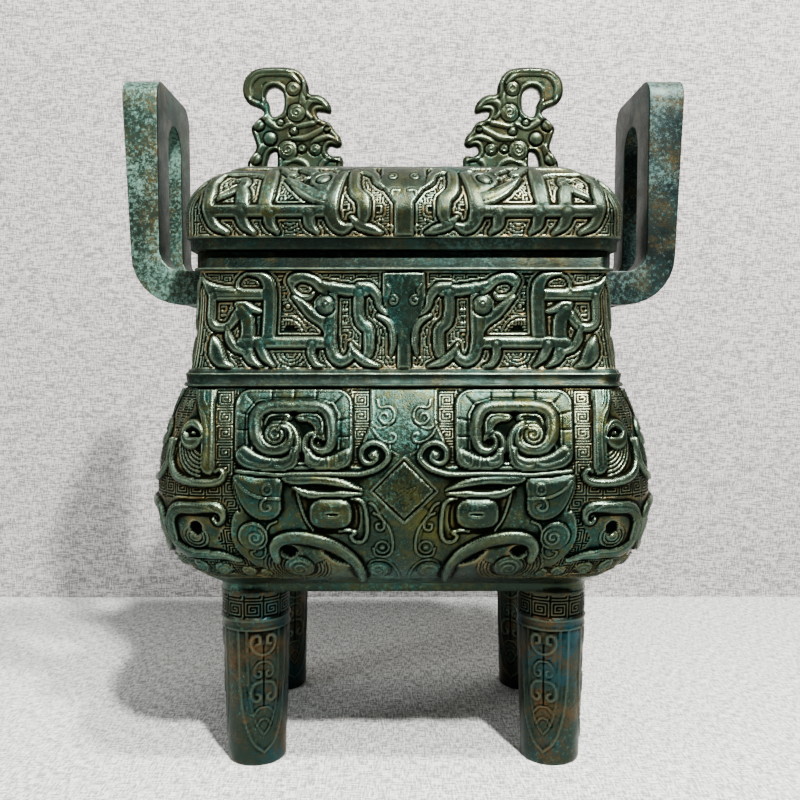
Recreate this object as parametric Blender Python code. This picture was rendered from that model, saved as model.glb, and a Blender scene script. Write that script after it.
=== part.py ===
"""A square ding: a cast bronze cauldron on four column legs, with its loose lid.

X runs along the long sides, Y along the short sides, and Z is up from the floor.
All sizes are in metres.
"""
import math

import bmesh
import bpy
import numpy as np

# The mouth, measured over the rim.
MOUTH_LENGTH = 0.153
MOUTH_WIDTH = 0.110
WALL = 0.0043            # thickness of the cast wall, and of the floor of the cauldron

# Heights of the zones of the cauldron, from the floor up.
LEG_HEIGHT = 0.069
BASE_BAND = 0.003
BELLY_HEIGHT = 0.0755
COLLAR_HEIGHT = 0.0065
NECK_HEIGHT = 0.036
RIM_HEIGHT = 0.007

# How far each zone stands out from the rim's own line; a minus stands inside it.
BASE_OUT = -0.006
BELLY_OUT = 0.0159
SHOULDER_OUT = 0.0043
COLLAR_OUT = 0.0055
NECK_FOOT_OUT = 0.0025
NECK_OUT = -0.0007
BEAD_OUT = 0.001
EDGE = 0.0005            # height over which a profile steps out to a bead or a band

# Radii of the upright corners.
BASE_CORNER = 0.008
BELLY_CORNER = 0.023
SHOULDER_CORNER = 0.010
NECK_CORNER = 0.006
RIM_CORNER = 0.005

# The legs.
LEG_INSET = 0.0121       # leg axis, in from the edge of the base
LEG_FOOT_RADIUS = 0.0114
LEG_TOP_RADIUS = 0.0133
LEG_BAND = 0.012         # height of the plain collar at the top of each leg
LEG_ROOT = 0.0038        # how far the leg runs up into the floor of the cauldron
LEG_RING = 0.0025        # height of the raised ring below that collar
LEG_RING_OUT = 0.0006

# The ears.
EAR_WIDTH = 0.054
EAR_SLOT = 0.021
EAR_FOOT_DROP = 0.018    # underside of the ear's foot, below the top of the rim
EAR_FOOT_THICKNESS = 0.0134
EAR_REACH = 0.0204       # rim to the inner face of the upright plate
EAR_THICKNESS = 0.0115
EAR_TOP_THICKNESS = 0.0142
EAR_RISE = 0.0715        # rim to the top of the ear
EAR_BRIDGE = 0.0135      # metal left above the slot
EAR_CORNER = 0.009
EAR_BEND = 0.008         # inner radius where the foot turns up

# The lid.
LID_GAP = 0.0003         # lid and rim rest on each other with this gap
LID_OVERHANG = 0.0025
LID_RIM = 0.0047
LID_SIDE_OUT = 0.001
LID_SIDE = 0.008
LID_DOME = 0.020
LID_DOME_INSET = 0.0165
LID_CORNER = 0.008
LIP_DEPTH = 0.008
LIP_THICKNESS = 0.003
LIP_CLEARANCE = 0.0006

# The two crests on the lid.
CREST_LENGTH = 0.0422
CREST_HEIGHT = 0.0498
CREST_THICKNESS = 0.0056
CREST_SPREAD = 0.0508    # clear space between the two crests

# Relief: how far the bands stand out, and how deep their roots go into the wall.
BAND_RELIEF = 0.0013
HIGH_RELIEF = 0.0022
EYE_RELIEF = 0.0031
NECK_RELIEF = 0.0011
BLADE_RELIEF = 0.0006
ROOT = 0.0009
SLOPE = 0.75             # share of a band's width that is left at its crown
DRAGON_BAND = 3.6        # width of a dragon's bands, in units of its card

CORNER_STEPS = 3
LEG_SIDES = 14

# Worked out from the sizes above.
RIM_HALF = MOUTH_LENGTH / 2
SIDE_STEP = (MOUTH_LENGTH - MOUTH_WIDTH) / 2
BELLY_Z = LEG_HEIGHT + BASE_BAND
COLLAR_Z = BELLY_Z + BELLY_HEIGHT
NECK_Z = COLLAR_Z + COLLAR_HEIGHT
RIM_Z = NECK_Z + NECK_HEIGHT
MOUTH_Z = RIM_Z + RIM_HEIGHT
LID_Z = MOUTH_Z + LID_GAP
LID_SIDE_Z = LID_Z + LID_RIM
DOME_Z = LID_SIDE_Z + LID_SIDE
TOP_Z = DOME_Z + LID_DOME


def bezier(p0, p1, p2, p3, count):
    """Points along one cubic curve, as rows of (half length, height)."""
    t = np.linspace(0.0, 1.0, count)[:, None]
    ends = (1 - t) ** 3 * np.array(p0) + t ** 3 * np.array(p3)
    return ends + 3 * (1 - t) ** 2 * t * np.array(p1) + 3 * (1 - t) * t ** 2 * np.array(p2)


def belly_profile(steps):
    """The swelling side of the belly, from the base band up to the collar."""
    base = (RIM_HALF + BASE_OUT, BELLY_Z)
    shoulder = (RIM_HALF + SHOULDER_OUT, COLLAR_Z)
    out = RIM_HALF + BELLY_OUT
    widest = BELLY_Z + 0.45 * BELLY_HEIGHT
    low = bezier(base, (base[0] + 0.57 * (out - base[0]), BELLY_Z + 0.08 * BELLY_HEIGHT),
                 (out, BELLY_Z + 0.21 * BELLY_HEIGHT), (out, widest), steps)
    high = bezier((out, widest), (out, widest + 0.19 * BELLY_HEIGHT),
                  (shoulder[0] + 0.45 * (out - shoulder[0]), COLLAR_Z - 0.13 * BELLY_HEIGHT),
                  shoulder, steps)
    rows = np.vstack([low, high[1:]])
    edge = np.where(rows[:, 1] < widest, base[0], shoulder[0])
    corner = np.where(rows[:, 1] < widest, BASE_CORNER, SHOULDER_CORNER)
    swell = (rows[:, 0] - edge) / (out - edge)
    return np.column_stack([rows, corner + (BELLY_CORNER - corner) * swell])


def neck_profile(steps):
    """The neck, which draws in a little from the collar to the rim."""
    up = np.linspace(0.0, 1.0, steps)
    half = RIM_HALF + NECK_OUT + (NECK_FOOT_OUT - NECK_OUT) * (1 - up) ** 2
    corner = NECK_CORNER + (RIM_CORNER - NECK_CORNER) * up
    return np.column_stack([half, NECK_Z + NECK_HEIGHT * up, corner])


def lid_profile(steps):
    """The side and the dome of the lid, up to its flat top."""
    out = RIM_HALF + LID_OVERHANG + LID_SIDE_OUT
    side = np.array([[out, LID_SIDE_Z + 0.2 * LID_SIDE]])
    dome = bezier((out, DOME_Z), (out, DOME_Z + 0.4 * LID_DOME),
                  (out - 0.5 * LID_DOME_INSET, DOME_Z + 0.8 * LID_DOME),
                  (out - LID_DOME_INSET, TOP_Z), steps)
    rows = np.vstack([side, dome])
    return np.column_stack([rows, np.full(len(rows), LID_CORNER)])


def ring(half, height, corner):
    """One level of a body: a rectangle with round corners, seen from above anticlockwise."""
    points = []
    for turn, (sx, sy) in enumerate(((1, 1), (-1, 1), (-1, -1), (1, -1))):
        cx = sx * (half - corner)
        cy = sy * (half - SIDE_STEP - corner)
        for step in range(CORNER_STEPS + 1):
            angle = math.radians(90) * (turn + step / CORNER_STEPS)
            points.append((cx + corner * math.cos(angle), cy + corner * math.sin(angle), height))
    return points


def material(name, colour, roughness, metallic):
    """One plain finish."""
    made = bpy.data.materials.new(name)
    made.use_nodes = True
    shader = made.node_tree.nodes["Principled BSDF"]
    shader.inputs["Base Color"].default_value = (*colour, 1.0)
    shader.inputs["Roughness"].default_value = roughness
    shader.inputs["Metallic"].default_value = metallic
    return made


def add_object(name, bm):
    """Put a finished bmesh in the scene under its own name."""
    bmesh.ops.recalc_face_normals(bm, faces=bm.faces[:])
    mesh = bpy.data.meshes.new(name)
    bm.to_mesh(mesh)
    bm.free()
    made = bpy.data.objects.new(name, mesh)
    bpy.context.collection.objects.link(made)
    return made


def add_tool(name, bm):
    """A shape that is only joined to, or cut out of, another one."""
    made = add_object(name, bm)
    made.hide_render = True
    made.display_type = "WIRE"
    return made


def boolean(target, tool, operation, overlapping=False):
    """Join a tool to the target, or cut it out."""
    step = target.modifiers.new(tool.name, "BOOLEAN")
    step.object = tool
    step.operation = operation
    step.solver = "EXACT"
    step.use_self = overlapping


def skin(bm, rings, closed_ends=True):
    """Join rings of equally many points into one surface."""
    levels = [[bm.verts.new(point) for point in points] for points in rings]
    count = len(levels[0])
    for low, high in zip(levels, levels[1:]):
        for i in range(count):
            j = (i + 1) % count
            bm.faces.new((low[i], low[j], high[j], high[i]))
    if closed_ends:
        bm.faces.new(levels[0][::-1])
        bm.faces.new(levels[-1])


def loft(rows):
    """A closed body from rows of (half length, height, corner radius)."""
    bm = bmesh.new()
    skin(bm, [ring(*row) for row in rows])
    return bm


def inset(rows, depth):
    """The same profile, moved inwards by a wall's thickness."""
    tangent = np.gradient(rows[:, :2], axis=0)
    tangent /= np.linalg.norm(tangent, axis=1)[:, None]
    inner = rows.copy()
    inner[:, 0] -= depth * tangent[:, 1]
    inner[:, 1] += depth * tangent[:, 0]
    inner[:, 2] = np.maximum(rows[:, 2] - depth, 0.4 * rows[:, 2])
    return inner


def prism(outline, axis, start, end):
    """An outline of two coordinates, drawn out along the third axis."""
    bm = bmesh.new()
    places = [[j for j in range(3) if j != axis], axis]
    rings = []
    for level in (start, end):
        points = []
        for first, second in outline:
            point = [0.0, 0.0, 0.0]
            point[places[0][0]] = first
            point[places[0][1]] = second
            point[places[1]] = level
            points.append(point)
        rings.append(points)
    skin(bm, rings)
    return bm


def arc(cx, cy, radius, start, end, steps):
    """Points round a centre, from one angle in degrees to another."""
    angles = np.radians(np.linspace(start, end, steps + 1))
    return [(cx + radius * math.cos(a), cy + radius * math.sin(a)) for a in angles]


class Wall:
    """One zone of a body as a drawing board: across a side, and up its curved profile."""

    def __init__(self, rows, corner_share):
        self.rows = rows
        steps = np.hypot(np.diff(rows[:, 0]), np.diff(rows[:, 1]))
        self.length = np.concatenate([[0.0], np.cumsum(steps)])
        self.flat = 1.0 - corner_share

    def place(self, side, across, up, out):
        """The point at shares across (-1 to 1) and up (0 to 1), standing out of the wall."""
        reach = up * self.length[-1]
        half, height, corner = (np.interp(reach, self.length, self.rows[:, i]) for i in range(3))
        delta = 0.02 * self.length[-1]
        ahead = [np.interp(reach + delta, self.length, self.rows[:, i]) for i in range(2)]
        behind = [np.interp(reach - delta, self.length, self.rows[:, i]) for i in range(2)]
        rise, swell = ahead[1] - behind[1], ahead[0] - behind[0]
        size = math.hypot(rise, swell)
        long_side = side % 2 == 0
        reach_out = half - SIDE_STEP if long_side else half
        reach_across = half - corner if long_side else half - SIDE_STEP - corner
        turned = max(0.0, abs(across) - self.flat) / (1 - self.flat) * math.radians(45)
        share = min(1.0, abs(across) / self.flat)
        x = math.copysign(share * reach_across + corner * math.sin(turned), across)
        y = reach_out - corner + corner * math.cos(turned)
        facing = (math.copysign(math.sin(turned), across) * rise / size,
                  math.cos(turned) * rise / size)
        x, y = x + out * facing[0], y + out * facing[1]
        z = height - out * swell / size
        quarter = side * math.radians(90) - math.radians(90)
        return (x * -math.sin(quarter) + y * math.cos(quarter),
                x * math.cos(quarter) + y * math.sin(quarter), z)


class Card:
    """A card that a figure is drawn on, in its own units, and laid on one side of a wall."""

    def __init__(self, bm, wall, side, width, height, mirrored):
        self.bm = bm
        self.wall = wall
        self.side = side
        self.width = width
        self.height = height
        self.sign = -1 if mirrored else 1

    def point(self, x, y, out):
        return self.wall.place(self.side, self.sign * x / self.width, y / self.height, out)

    def solid(self, foot, crown, out):
        """A raised block between its outline at the root and its outline at the crown."""
        count = len(foot)
        low = [self.bm.verts.new(self.point(x, y, -ROOT)) for x, y in foot]
        high = [self.bm.verts.new(self.point(x, y, out)) for x, y in crown]
        for i in range(count):
            j = (i + 1) % count
            self.bm.faces.new((low[i], low[j], high[j], high[i]))
        self.bm.faces.new(low[::-1])
        self.bm.faces.new(high)

    def boss(self, x, y, radius, out, tall=1.0, sides=5):
        """A round or long eye, spiral or stud."""
        foot = arc(0, 0, radius, 0, 360, sides)[:-1]
        crown = arc(0, 0, radius * SLOPE, 0, 360, sides)[:-1]
        self.solid([(x + px, y + py * tall) for px, py in foot],
                   [(x + px, y + py * tall) for px, py in crown], out)

    def plate(self, outline, out):
        """A flat raised field inside an outline."""
        middle = np.mean(outline, axis=0)
        crown = [middle + (np.array(p) - middle) * (0.5 + SLOPE / 2) for p in outline]
        self.solid(outline, crown, out)

    def band(self, path, width, out, flat=True):
        """A raised band along a path, with a flat crown or with a plain ridge."""
        path = np.array(path, float)
        ahead = np.diff(path, axis=0)
        ahead /= np.linalg.norm(ahead, axis=1)[:, None]
        turn = np.vstack([ahead[:1], ahead[:-1] + ahead[1:], ahead[-1:]])
        turn /= np.linalg.norm(turn, axis=1)[:, None]
        across = np.column_stack([-turn[:, 1], turn[:, 0]]) * width / 2
        bends = np.concatenate([[1.0], np.einsum("ij,ij->i", turn[1:-1], ahead[1:]), [1.0]])
        across /= np.maximum(bends, 0.6)[:, None]
        rings = []
        for place, offset in zip(path, across):
            crown = [(place - offset * SLOPE, out), (place + offset * SLOPE, out)]
            corners = [(place - offset, -ROOT), *(crown if flat else [(place, out)]),
                       (place + offset, -ROOT)]
            rings.append([self.point(*spot, depth) for spot, depth in corners])
        skin(self.bm, rings)


class Shaft:
    """A leg as a drawing board, in thirds round its axis, below its rings."""

    def __init__(self, cx, cy):
        self.axis = (cx, cy)
        self.inward = math.atan2(-cy, -cx)

    def place(self, third, across, up, out):
        z = up * (LEG_HEIGHT - LEG_BAND - 3 * LEG_RING)
        angle = self.inward + math.radians(60 + 120 * third + 60 * across)
        radius = leg_radius(z) + out
        return (self.axis[0] + radius * math.cos(angle),
                self.axis[1] + radius * math.sin(angle), z)


def draw_mask(card):
    """Half of the ox-horned mask on a belly side, and the small dragon at its corner.

    The card is 88 units from the middle of the side to its corner, and 89 units tall.
    """
    card.band([(56, 61), (56, 82), (26, 82), (23, 61)], 7.5, HIGH_RELIEF)
    card.boss(40, 70, 6.5, HIGH_RELIEF)
    card.band([(46, 56), (28, 57), (13, 55)], 4.6, BAND_RELIEF)
    card.boss(26.5, 43.5, 8.6, EYE_RELIEF, tall=0.68, sides=6)
    card.plate([(60.5, 57), (44, 51), (48, 41.5), (58, 47)], BAND_RELIEF)
    card.boss(55, 35, 5, HIGH_RELIEF)
    card.band([(46.5, 28), (44, 34), (27, 31.5), (17.5, 16)], 4.4, HIGH_RELIEF)
    card.boss(40, 20, 7, BAND_RELIEF)
    card.boss(9.5, 20, 4.2, HIGH_RELIEF)
    card.band([(71, 83), (71, 58)], 5.5, BAND_RELIEF)
    card.boss(79.5, 71, 5, HIGH_RELIEF)
    card.band([(85, 65), (82, 57), (67, 54)], 3.4, BAND_RELIEF)
    card.band([(67, 45), (84, 45), (84, 28), (62, 26)], 3.4, BAND_RELIEF)


def draw_nose(card):
    """The middle of the mask: forehead plate, diamond and nose, drawn once for both halves."""
    card.plate([(-11.5, 60), (11.5, 60), (12, 88), (-12, 88)], BAND_RELIEF)
    card.plate([(0, 43), (10, 51.5), (0, 59), (-10, 51.5)], HIGH_RELIEF)
    card.plate([(-4.5, 23), (4.5, 23), (6.5, 42), (-6.5, 42)], BAND_RELIEF)


def draw_dragon(card):
    """One long-bodied dragon of the neck and the lid, with its head towards the middle.

    The card is 76 units from the middle to the corner, and 36 units tall.
    """
    for path in (((66, 14), (69.5, 25), (50, 28.4), (50, 9.5), (26, 9.5)), ((59, 21), (59, 4)),
                 ((40, 25.5), (27.5, 14)), ((22, 4), (22, 28), (9, 27))):
        card.band(path, DRAGON_BAND, NECK_RELIEF, flat=False)
    card.boss(30.5, 25, 3.6, HIGH_RELIEF)


def draw_blade(card):
    """The outline of one hanging blade: straight sides that run to a point.

    The card is 13.5 units from the middle of the blade to its edge, and 52 units tall.
    """
    card.band([(-10.5, 51), (-9.5, 22), (0, 6), (9.5, 22), (10.5, 51)], 2.6, BLADE_RELIEF,
              flat=False)


def draw_plaque(card):
    """The plain upright plaque between two dragons."""
    card.plate([(-5, 4), (5, 4), (5, 31), (-5, 31)], NECK_RELIEF)


def relief(name, wall, figure, middle, width, height):
    """A figure on the four sides of a wall, mirrored about the middle of each."""
    bm = bmesh.new()
    for side in range(4):
        for mirrored in (False, True):
            figure(Card(bm, wall, side, width, height, mirrored))
        middle(Card(bm, wall, side, width, height, False))
    return add_tool(name, bm)


def leg_radius(z):
    """Radius of a leg, which widens a little from foot to top."""
    return LEG_FOOT_RADIUS + (LEG_TOP_RADIUS - LEG_FOOT_RADIUS) * z / LEG_HEIGHT


def leg(name, cx, cy):
    """One column leg with a raised ring under its plain top."""
    band = LEG_HEIGHT - LEG_BAND
    levels = [(0.0, 0.0), (band - LEG_RING, 0.0), (band - LEG_RING / 2, LEG_RING_OUT),
              (band, 0.0), (LEG_HEIGHT + LEG_ROOT, 0.0)]
    bm = bmesh.new()
    rings = []
    for z, out in levels:
        circle = arc(cx, cy, leg_radius(z) + out, 0, 360, LEG_SIDES)[:-1]
        rings.append([(x, y, z) for x, y in circle])
    skin(bm, rings)
    return add_tool(name, bm)


def blades(name, cx, cy):
    """Three hanging blades round a leg."""
    bm = bmesh.new()
    shaft = Shaft(cx, cy)
    for third in range(3):
        draw_blade(Card(bm, shaft, third, 13.5, 52, False))
    return add_tool(name, bm)


def ear(name, side):
    """An upright ear: a plate that bends in at its foot to meet the neck."""
    inner = RIM_HALF + EAR_REACH
    root = RIM_HALF + NECK_OUT - WALL / 2
    low = MOUTH_Z - EAR_FOOT_DROP
    foot_top = low + EAR_FOOT_THICKNESS
    top = MOUTH_Z + EAR_RISE
    outer_bend = EAR_BEND + EAR_THICKNESS
    outline = [(root, low)]
    outline += arc(inner + EAR_THICKNESS - outer_bend, low + outer_bend, outer_bend, -90, 0, 6)
    outline += [(inner + EAR_TOP_THICKNESS, top), (inner, top)]
    outline += arc(inner - EAR_BEND, foot_top + EAR_BEND, EAR_BEND, 0, -90, 4)
    outline += [(root, foot_top)]
    strap = add_tool(name, prism([(side * x, z) for x, z in outline], 1,
                                 -EAR_WIDTH / 2, EAR_WIDTH / 2))

    half = EAR_WIDTH / 2
    arch = [(-half, low - WALL), (half, low - WALL)]
    arch += arc(half - EAR_CORNER, top - EAR_CORNER, EAR_CORNER, 0, 90, 4)
    arch += arc(EAR_CORNER - half, top - EAR_CORNER, EAR_CORNER, 90, 180, 4)
    ends = sorted((side * (root - WALL), side * (inner + 2 * EAR_TOP_THICKNESS)))
    boolean(strap, add_tool(name + "_outline", prism(arch, 0, *ends)), "INTERSECT")

    half = EAR_SLOT / 2
    slot_top = top - EAR_BRIDGE
    slot = [(-half, low - WALL), (half, low - WALL)] + arc(0, slot_top - half, half, 0, 180, 6)
    ends = sorted((side * (RIM_HALF + BEAD_OUT), side * (inner + 2 * EAR_TOP_THICKNESS)))
    boolean(strap, add_tool(name + "_slot", prism(slot, 0, *ends)), "DIFFERENCE")
    return strap


def build_vessel():
    """The cauldron: body, legs and ears cast as one, and hollow."""
    belly = belly_profile(5)
    neck = neck_profile(3)
    collar = RIM_HALF + COLLAR_OUT
    rows = [(RIM_HALF + BASE_OUT, LEG_HEIGHT, BASE_CORNER)]
    rows += [tuple(row) for row in belly[:-1]]
    rows += [(RIM_HALF + SHOULDER_OUT, COLLAR_Z - EDGE, SHOULDER_CORNER),
             (collar, COLLAR_Z + EDGE, SHOULDER_CORNER),
             (collar - BEAD_OUT, COLLAR_Z + 0.3 * COLLAR_HEIGHT, SHOULDER_CORNER),
             (collar - BEAD_OUT, COLLAR_Z + 0.8 * COLLAR_HEIGHT, NECK_CORNER)]
    rows += [tuple(row) for row in neck]
    rows += [(RIM_HALF + BEAD_OUT, RIM_Z + EDGE, RIM_CORNER),
             (RIM_HALF, RIM_Z + 2 * EDGE, RIM_CORNER),
             (RIM_HALF, MOUTH_Z, RIM_CORNER)]
    vessel = add_object("vessel", loft(rows))

    leg_x = RIM_HALF + BASE_OUT - LEG_INSET
    leg_y = leg_x - SIDE_STEP
    for i, (sx, sy) in enumerate(((1, 1), (-1, 1), (-1, -1), (1, -1))):
        column = leg(f"leg_{i}", sx * leg_x, sy * leg_y)
        boolean(column, blades(f"leg_blades_{i}", sx * leg_x, sy * leg_y), "UNION", True)
        boolean(vessel, column, "UNION")
    for name, side in (("ear_right", 1), ("ear_left", -1)):
        boolean(vessel, ear(name, side), "UNION")

    mask = relief("masks", Wall(belly, 0.2), draw_mask, draw_nose, 88, 89)
    boolean(vessel, mask, "UNION", True)
    dragons = relief("neck_dragons", Wall(neck, 0.06), draw_dragon, draw_plaque, 76, 36)
    boolean(vessel, dragons, "UNION", True)

    shell = [row for row in belly] + [row for row in neck]
    inside = inset(np.array(shell), WALL)
    inside = inside[inside[:, 1] > LEG_HEIGHT + WALL]
    floor = inside[0].copy()
    floor[0] -= WALL
    floor[1] = LEG_HEIGHT + WALL
    opening = inside[-1].copy()
    opening[1] = MOUTH_Z + WALL
    hollow = add_tool("hollow", loft([tuple(r) for r in (floor, *inside, opening)]))
    boolean(vessel, hollow, "DIFFERENCE")
    return vessel


# The outline of a crest, in shares of its length and height. It is a bird-like dragon: from its
# base up past two chest beads, round the hooked crown, and down over the beak and the tusk.
CREST_OUTLINE = ((0.06, -0.04), (0.06, 0.16), (0.05, 0.25), (0.11, 0.36), (0.11, 0.51),
                 (0.2, 0.59), (0.18, 0.65), (0.03, 0.71), (0.0, 0.78), (0.0, 0.87),
                 (0.09, 0.95), (0.25, 1.0), (0.5, 1.0), (0.61, 0.93), (0.66, 0.78),
                 (0.8, 0.75), (0.87, 0.62), (0.73, 0.63), (0.88, 0.49), (0.96, 0.43),
                 (0.99, 0.34), (0.86, 0.34), (0.85, 0.26), (1.0, 0.25), (0.98, -0.04))
CREST_UPPER_HOLE = ((0.22, 0.76), (0.3, 0.83), (0.4, 0.77), (0.41, 0.64), (0.3, 0.59))
CREST_LOWER_HOLE = ((0.22, 0.05), (0.31, 0.05), (0.33, 0.3), (0.25, 0.26))


def crest(name, side):
    """One openwork crest that stands on the lid in the plane of its length."""
    outer = CREST_SPREAD / 2 + CREST_LENGTH

    def spots(shares):
        return [(side * (outer - CREST_LENGTH * x), TOP_Z + CREST_HEIGHT * z) for x, z in shares]

    plate = add_tool(name, prism(spots(CREST_OUTLINE), 1, -CREST_THICKNESS / 2, CREST_THICKNESS / 2))
    for label, hole in (("_upper_hole", CREST_UPPER_HOLE), ("_lower_hole", CREST_LOWER_HOLE)):
        cutter = prism(spots(hole), 1, -CREST_THICKNESS, CREST_THICKNESS)
        boolean(plate, add_tool(name + label, cutter), "DIFFERENCE")
    return plate


def build_lid():
    """The lid: a hollow dome with its lip and its two crests."""
    dome = lid_profile(4)
    rim = RIM_HALF + LID_OVERHANG
    rows = [(rim, LID_Z, LID_CORNER), (rim, LID_SIDE_Z - EDGE, LID_CORNER)]
    rows += [tuple(row) for row in dome]
    lid = add_object("lid", loft(rows))

    lip = RIM_HALF + NECK_OUT - WALL - LIP_CLEARANCE
    lip_corner = RIM_CORNER / 2
    boolean(lid, add_tool("lip", loft([(lip, MOUTH_Z - LIP_DEPTH, lip_corner),
                                       (lip, LID_SIDE_Z, lip_corner)])), "UNION")
    dragons = relief("lid_dragons", Wall(dome, 0.08), draw_dragon, draw_plaque, 76, 36)
    boolean(lid, dragons, "UNION", True)
    for name, side in (("crest_right", 1), ("crest_left", -1)):
        boolean(lid, crest(name, side), "UNION")

    bore = lip - LIP_THICKNESS
    inside = [(bore, MOUTH_Z - 2 * LIP_DEPTH, lip_corner), (bore, LID_SIDE_Z, lip_corner)]
    inside += [tuple(row) for row in inset(dome, WALL)[1:]]
    boolean(lid, add_tool("lid_hollow", loft(inside)), "DIFFERENCE")
    return lid


for old in list(bpy.data.objects):
    bpy.data.objects.remove(old)

vessel = build_vessel()
vessel.data.materials.append(material("vessel_bronze", (0.10, 0.14, 0.11), 0.45, 0.7))
lid = build_lid()
lid.data.materials.append(material("lid_bronze", (0.12, 0.15, 0.11), 0.45, 0.7))
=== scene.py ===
# %% [markdown]
# # A square bronze ding with its lid
#
# A ding is a cast bronze cauldron on legs. This one is four-square, with a belly that swells
# between its floor and its collar, a neck of dragons, two upright ears and a loose lid with two
# crests. The packed model already holds the true sizes, so every piece here is laid over it in
# the same place: X along the long sides, Y along the short sides, Z up from the floor.

# %% Load the packed model
import math

import bmesh
import bpy
import numpy as np
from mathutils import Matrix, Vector


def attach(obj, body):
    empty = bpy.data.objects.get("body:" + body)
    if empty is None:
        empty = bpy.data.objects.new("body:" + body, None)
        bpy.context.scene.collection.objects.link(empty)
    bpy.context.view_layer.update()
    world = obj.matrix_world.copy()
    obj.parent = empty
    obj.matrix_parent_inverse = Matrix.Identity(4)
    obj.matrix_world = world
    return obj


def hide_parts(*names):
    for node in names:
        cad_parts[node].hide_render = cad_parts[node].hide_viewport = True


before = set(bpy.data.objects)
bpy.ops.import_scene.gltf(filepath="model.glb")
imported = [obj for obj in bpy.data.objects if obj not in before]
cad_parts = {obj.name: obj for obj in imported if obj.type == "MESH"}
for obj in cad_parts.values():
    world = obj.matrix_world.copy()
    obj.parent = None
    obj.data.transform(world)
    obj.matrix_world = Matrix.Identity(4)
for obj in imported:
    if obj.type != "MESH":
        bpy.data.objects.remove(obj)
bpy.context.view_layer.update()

MM = 0.001               # the shapes below are drawn in millimetres

# %% [markdown]
# ## Camera, floor and light
#
# The lens stands level with the rim of the mouth, a little left of the middle, and looks down by
# a few degrees, so that the floor's far edge runs behind the legs. The floor is a pale cloth and
# so is the wall behind it. Two small lamps hang high at the front right. They draw a bright line
# along each ridge and throw two shadows over each other, back and to the left. Wide soft boxes
# and a pale room fill the rest.

# %% Camera
CAMERA_PLACE = (-2.2 * MM, -374.6 * MM, 162.4 * MM)
LOOK_DOWN = 3.56         # degrees
LOOK_RIGHT = 0.14        # degrees
LENS, SENSOR = 38.98, 36.0    # millimetres


def add_camera():
    """The camera at the photograph's angle, for a picture of 800 by 800."""
    lens = bpy.data.cameras.new("camera")
    lens.lens = LENS
    lens.sensor_width = SENSOR
    lens.clip_start = 0.01
    made = bpy.data.objects.new("camera", lens)
    made.location = CAMERA_PLACE
    made.rotation_euler = (math.radians(90 - LOOK_DOWN), 0.0, math.radians(-LOOK_RIGHT))
    bpy.context.collection.objects.link(made)
    bpy.context.scene.camera = made
    return made


camera = add_camera()
print("the camera stands", round(-camera.location.y, 3), "m in front of the middle")


# %% Soft lights
MIDDLE = Vector((0.0, 0.0, 0.1))      # the belly's middle, which the lamps face


def add_light(name, place, size, power, colour, aim=MIDDLE):
    """A soft box that faces a point."""
    lamp = bpy.data.lights.new(name, "AREA")
    lamp.shape = "RECTANGLE"
    lamp.size, lamp.size_y = size
    lamp.energy = power
    lamp.color = colour
    made = bpy.data.objects.new(name, lamp)
    made.location = place
    made.rotation_euler = (made.location - aim).to_track_quat("Z", "Y").to_euler()
    bpy.context.collection.objects.link(made)


def add_world(colour, strength):
    """An even pale room round the object."""
    world = bpy.data.worlds.new("room")
    world.use_nodes = True
    sky = world.node_tree.nodes["Background"]
    sky.inputs["Color"].default_value = (*colour, 1.0)
    sky.inputs["Strength"].default_value = strength
    bpy.context.scene.world = world


add_light("key_light", (0.27, -0.70, 1.00), (0.06, 0.06), 31.0, (1.0, 0.98, 0.95))
add_light("second_light", (0.27, -0.36, 1.00), (0.06, 0.06), 15.0, (1.0, 0.98, 0.96))
add_light("top_light", (-0.12, -0.30, 0.80), (0.5, 0.25), 1.6, (1.0, 0.98, 0.96))
add_light("left_light", (-0.85, -0.45, 0.45), (0.25, 0.5), 3.0, (0.93, 0.97, 1.0),
          Vector((0.0, 0.0, 0.15)))
add_light("back_light", (-0.35, 1.00, 0.60), (0.6, 0.4), 9.0, (0.97, 0.98, 1.0))
add_world((0.80, 0.82, 0.84), 0.15)
bpy.context.scene.view_settings.look = "AgX - Medium High Contrast"

# %% [markdown]
# ## Node groups for the finishes
#
# Old bronze is not one colour. Its patina drifts between dark green, teal and brown, dirt stays
# in the hollows, and there are small crusts; the hollows also take a painted shade. Ridges turn
# pale where hands and cloths reach them, with a painted highlight over that, and less so on the
# undersides, as painted light from above. Each of these effects is used by several finishes, so
# each is built once as a node group and placed with its own values.

# %% Groups and their sockets
FLOAT, COLOUR = "NodeSocketFloat", "NodeSocketColor"


def new_group(name, inputs, outputs):
    """An empty shader group, as (group, what comes in, what goes out)."""
    group = bpy.data.node_groups.new(name, "ShaderNodeTree")
    for label, value in inputs.items():
        kind = COLOUR if isinstance(value, tuple) else FLOAT
        socket = group.interface.new_socket(label, in_out="INPUT", socket_type=kind)
        socket.default_value = (*value, 1.0) if kind == COLOUR else value
    for label, kind in outputs.items():
        group.interface.new_socket(label, in_out="OUTPUT", socket_type=kind)
    start, end = group.nodes.new("NodeGroupInput"), group.nodes.new("NodeGroupOutput")
    return group, start.outputs, end.inputs


print("sockets hold", FLOAT, "or", COLOUR)


# %% One node in one word
def feed(tree, value, socket):
    """Give a socket a number, a colour of three parts, or a link from another socket."""
    if isinstance(value, (int, float)):
        socket.default_value = value
    elif isinstance(value, tuple):
        socket.default_value = (*value, 1.0)
    else:
        tree.links.new(value, socket)


def math_node(tree, operation, *values, clamp=False):
    """One sum; each value is a number or a socket."""
    node = tree.nodes.new("ShaderNodeMath")
    node.operation = operation
    node.use_clamp = clamp
    for socket, value in zip(node.inputs, values):
        feed(tree, value, socket)
    return node.outputs["Value"]


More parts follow.
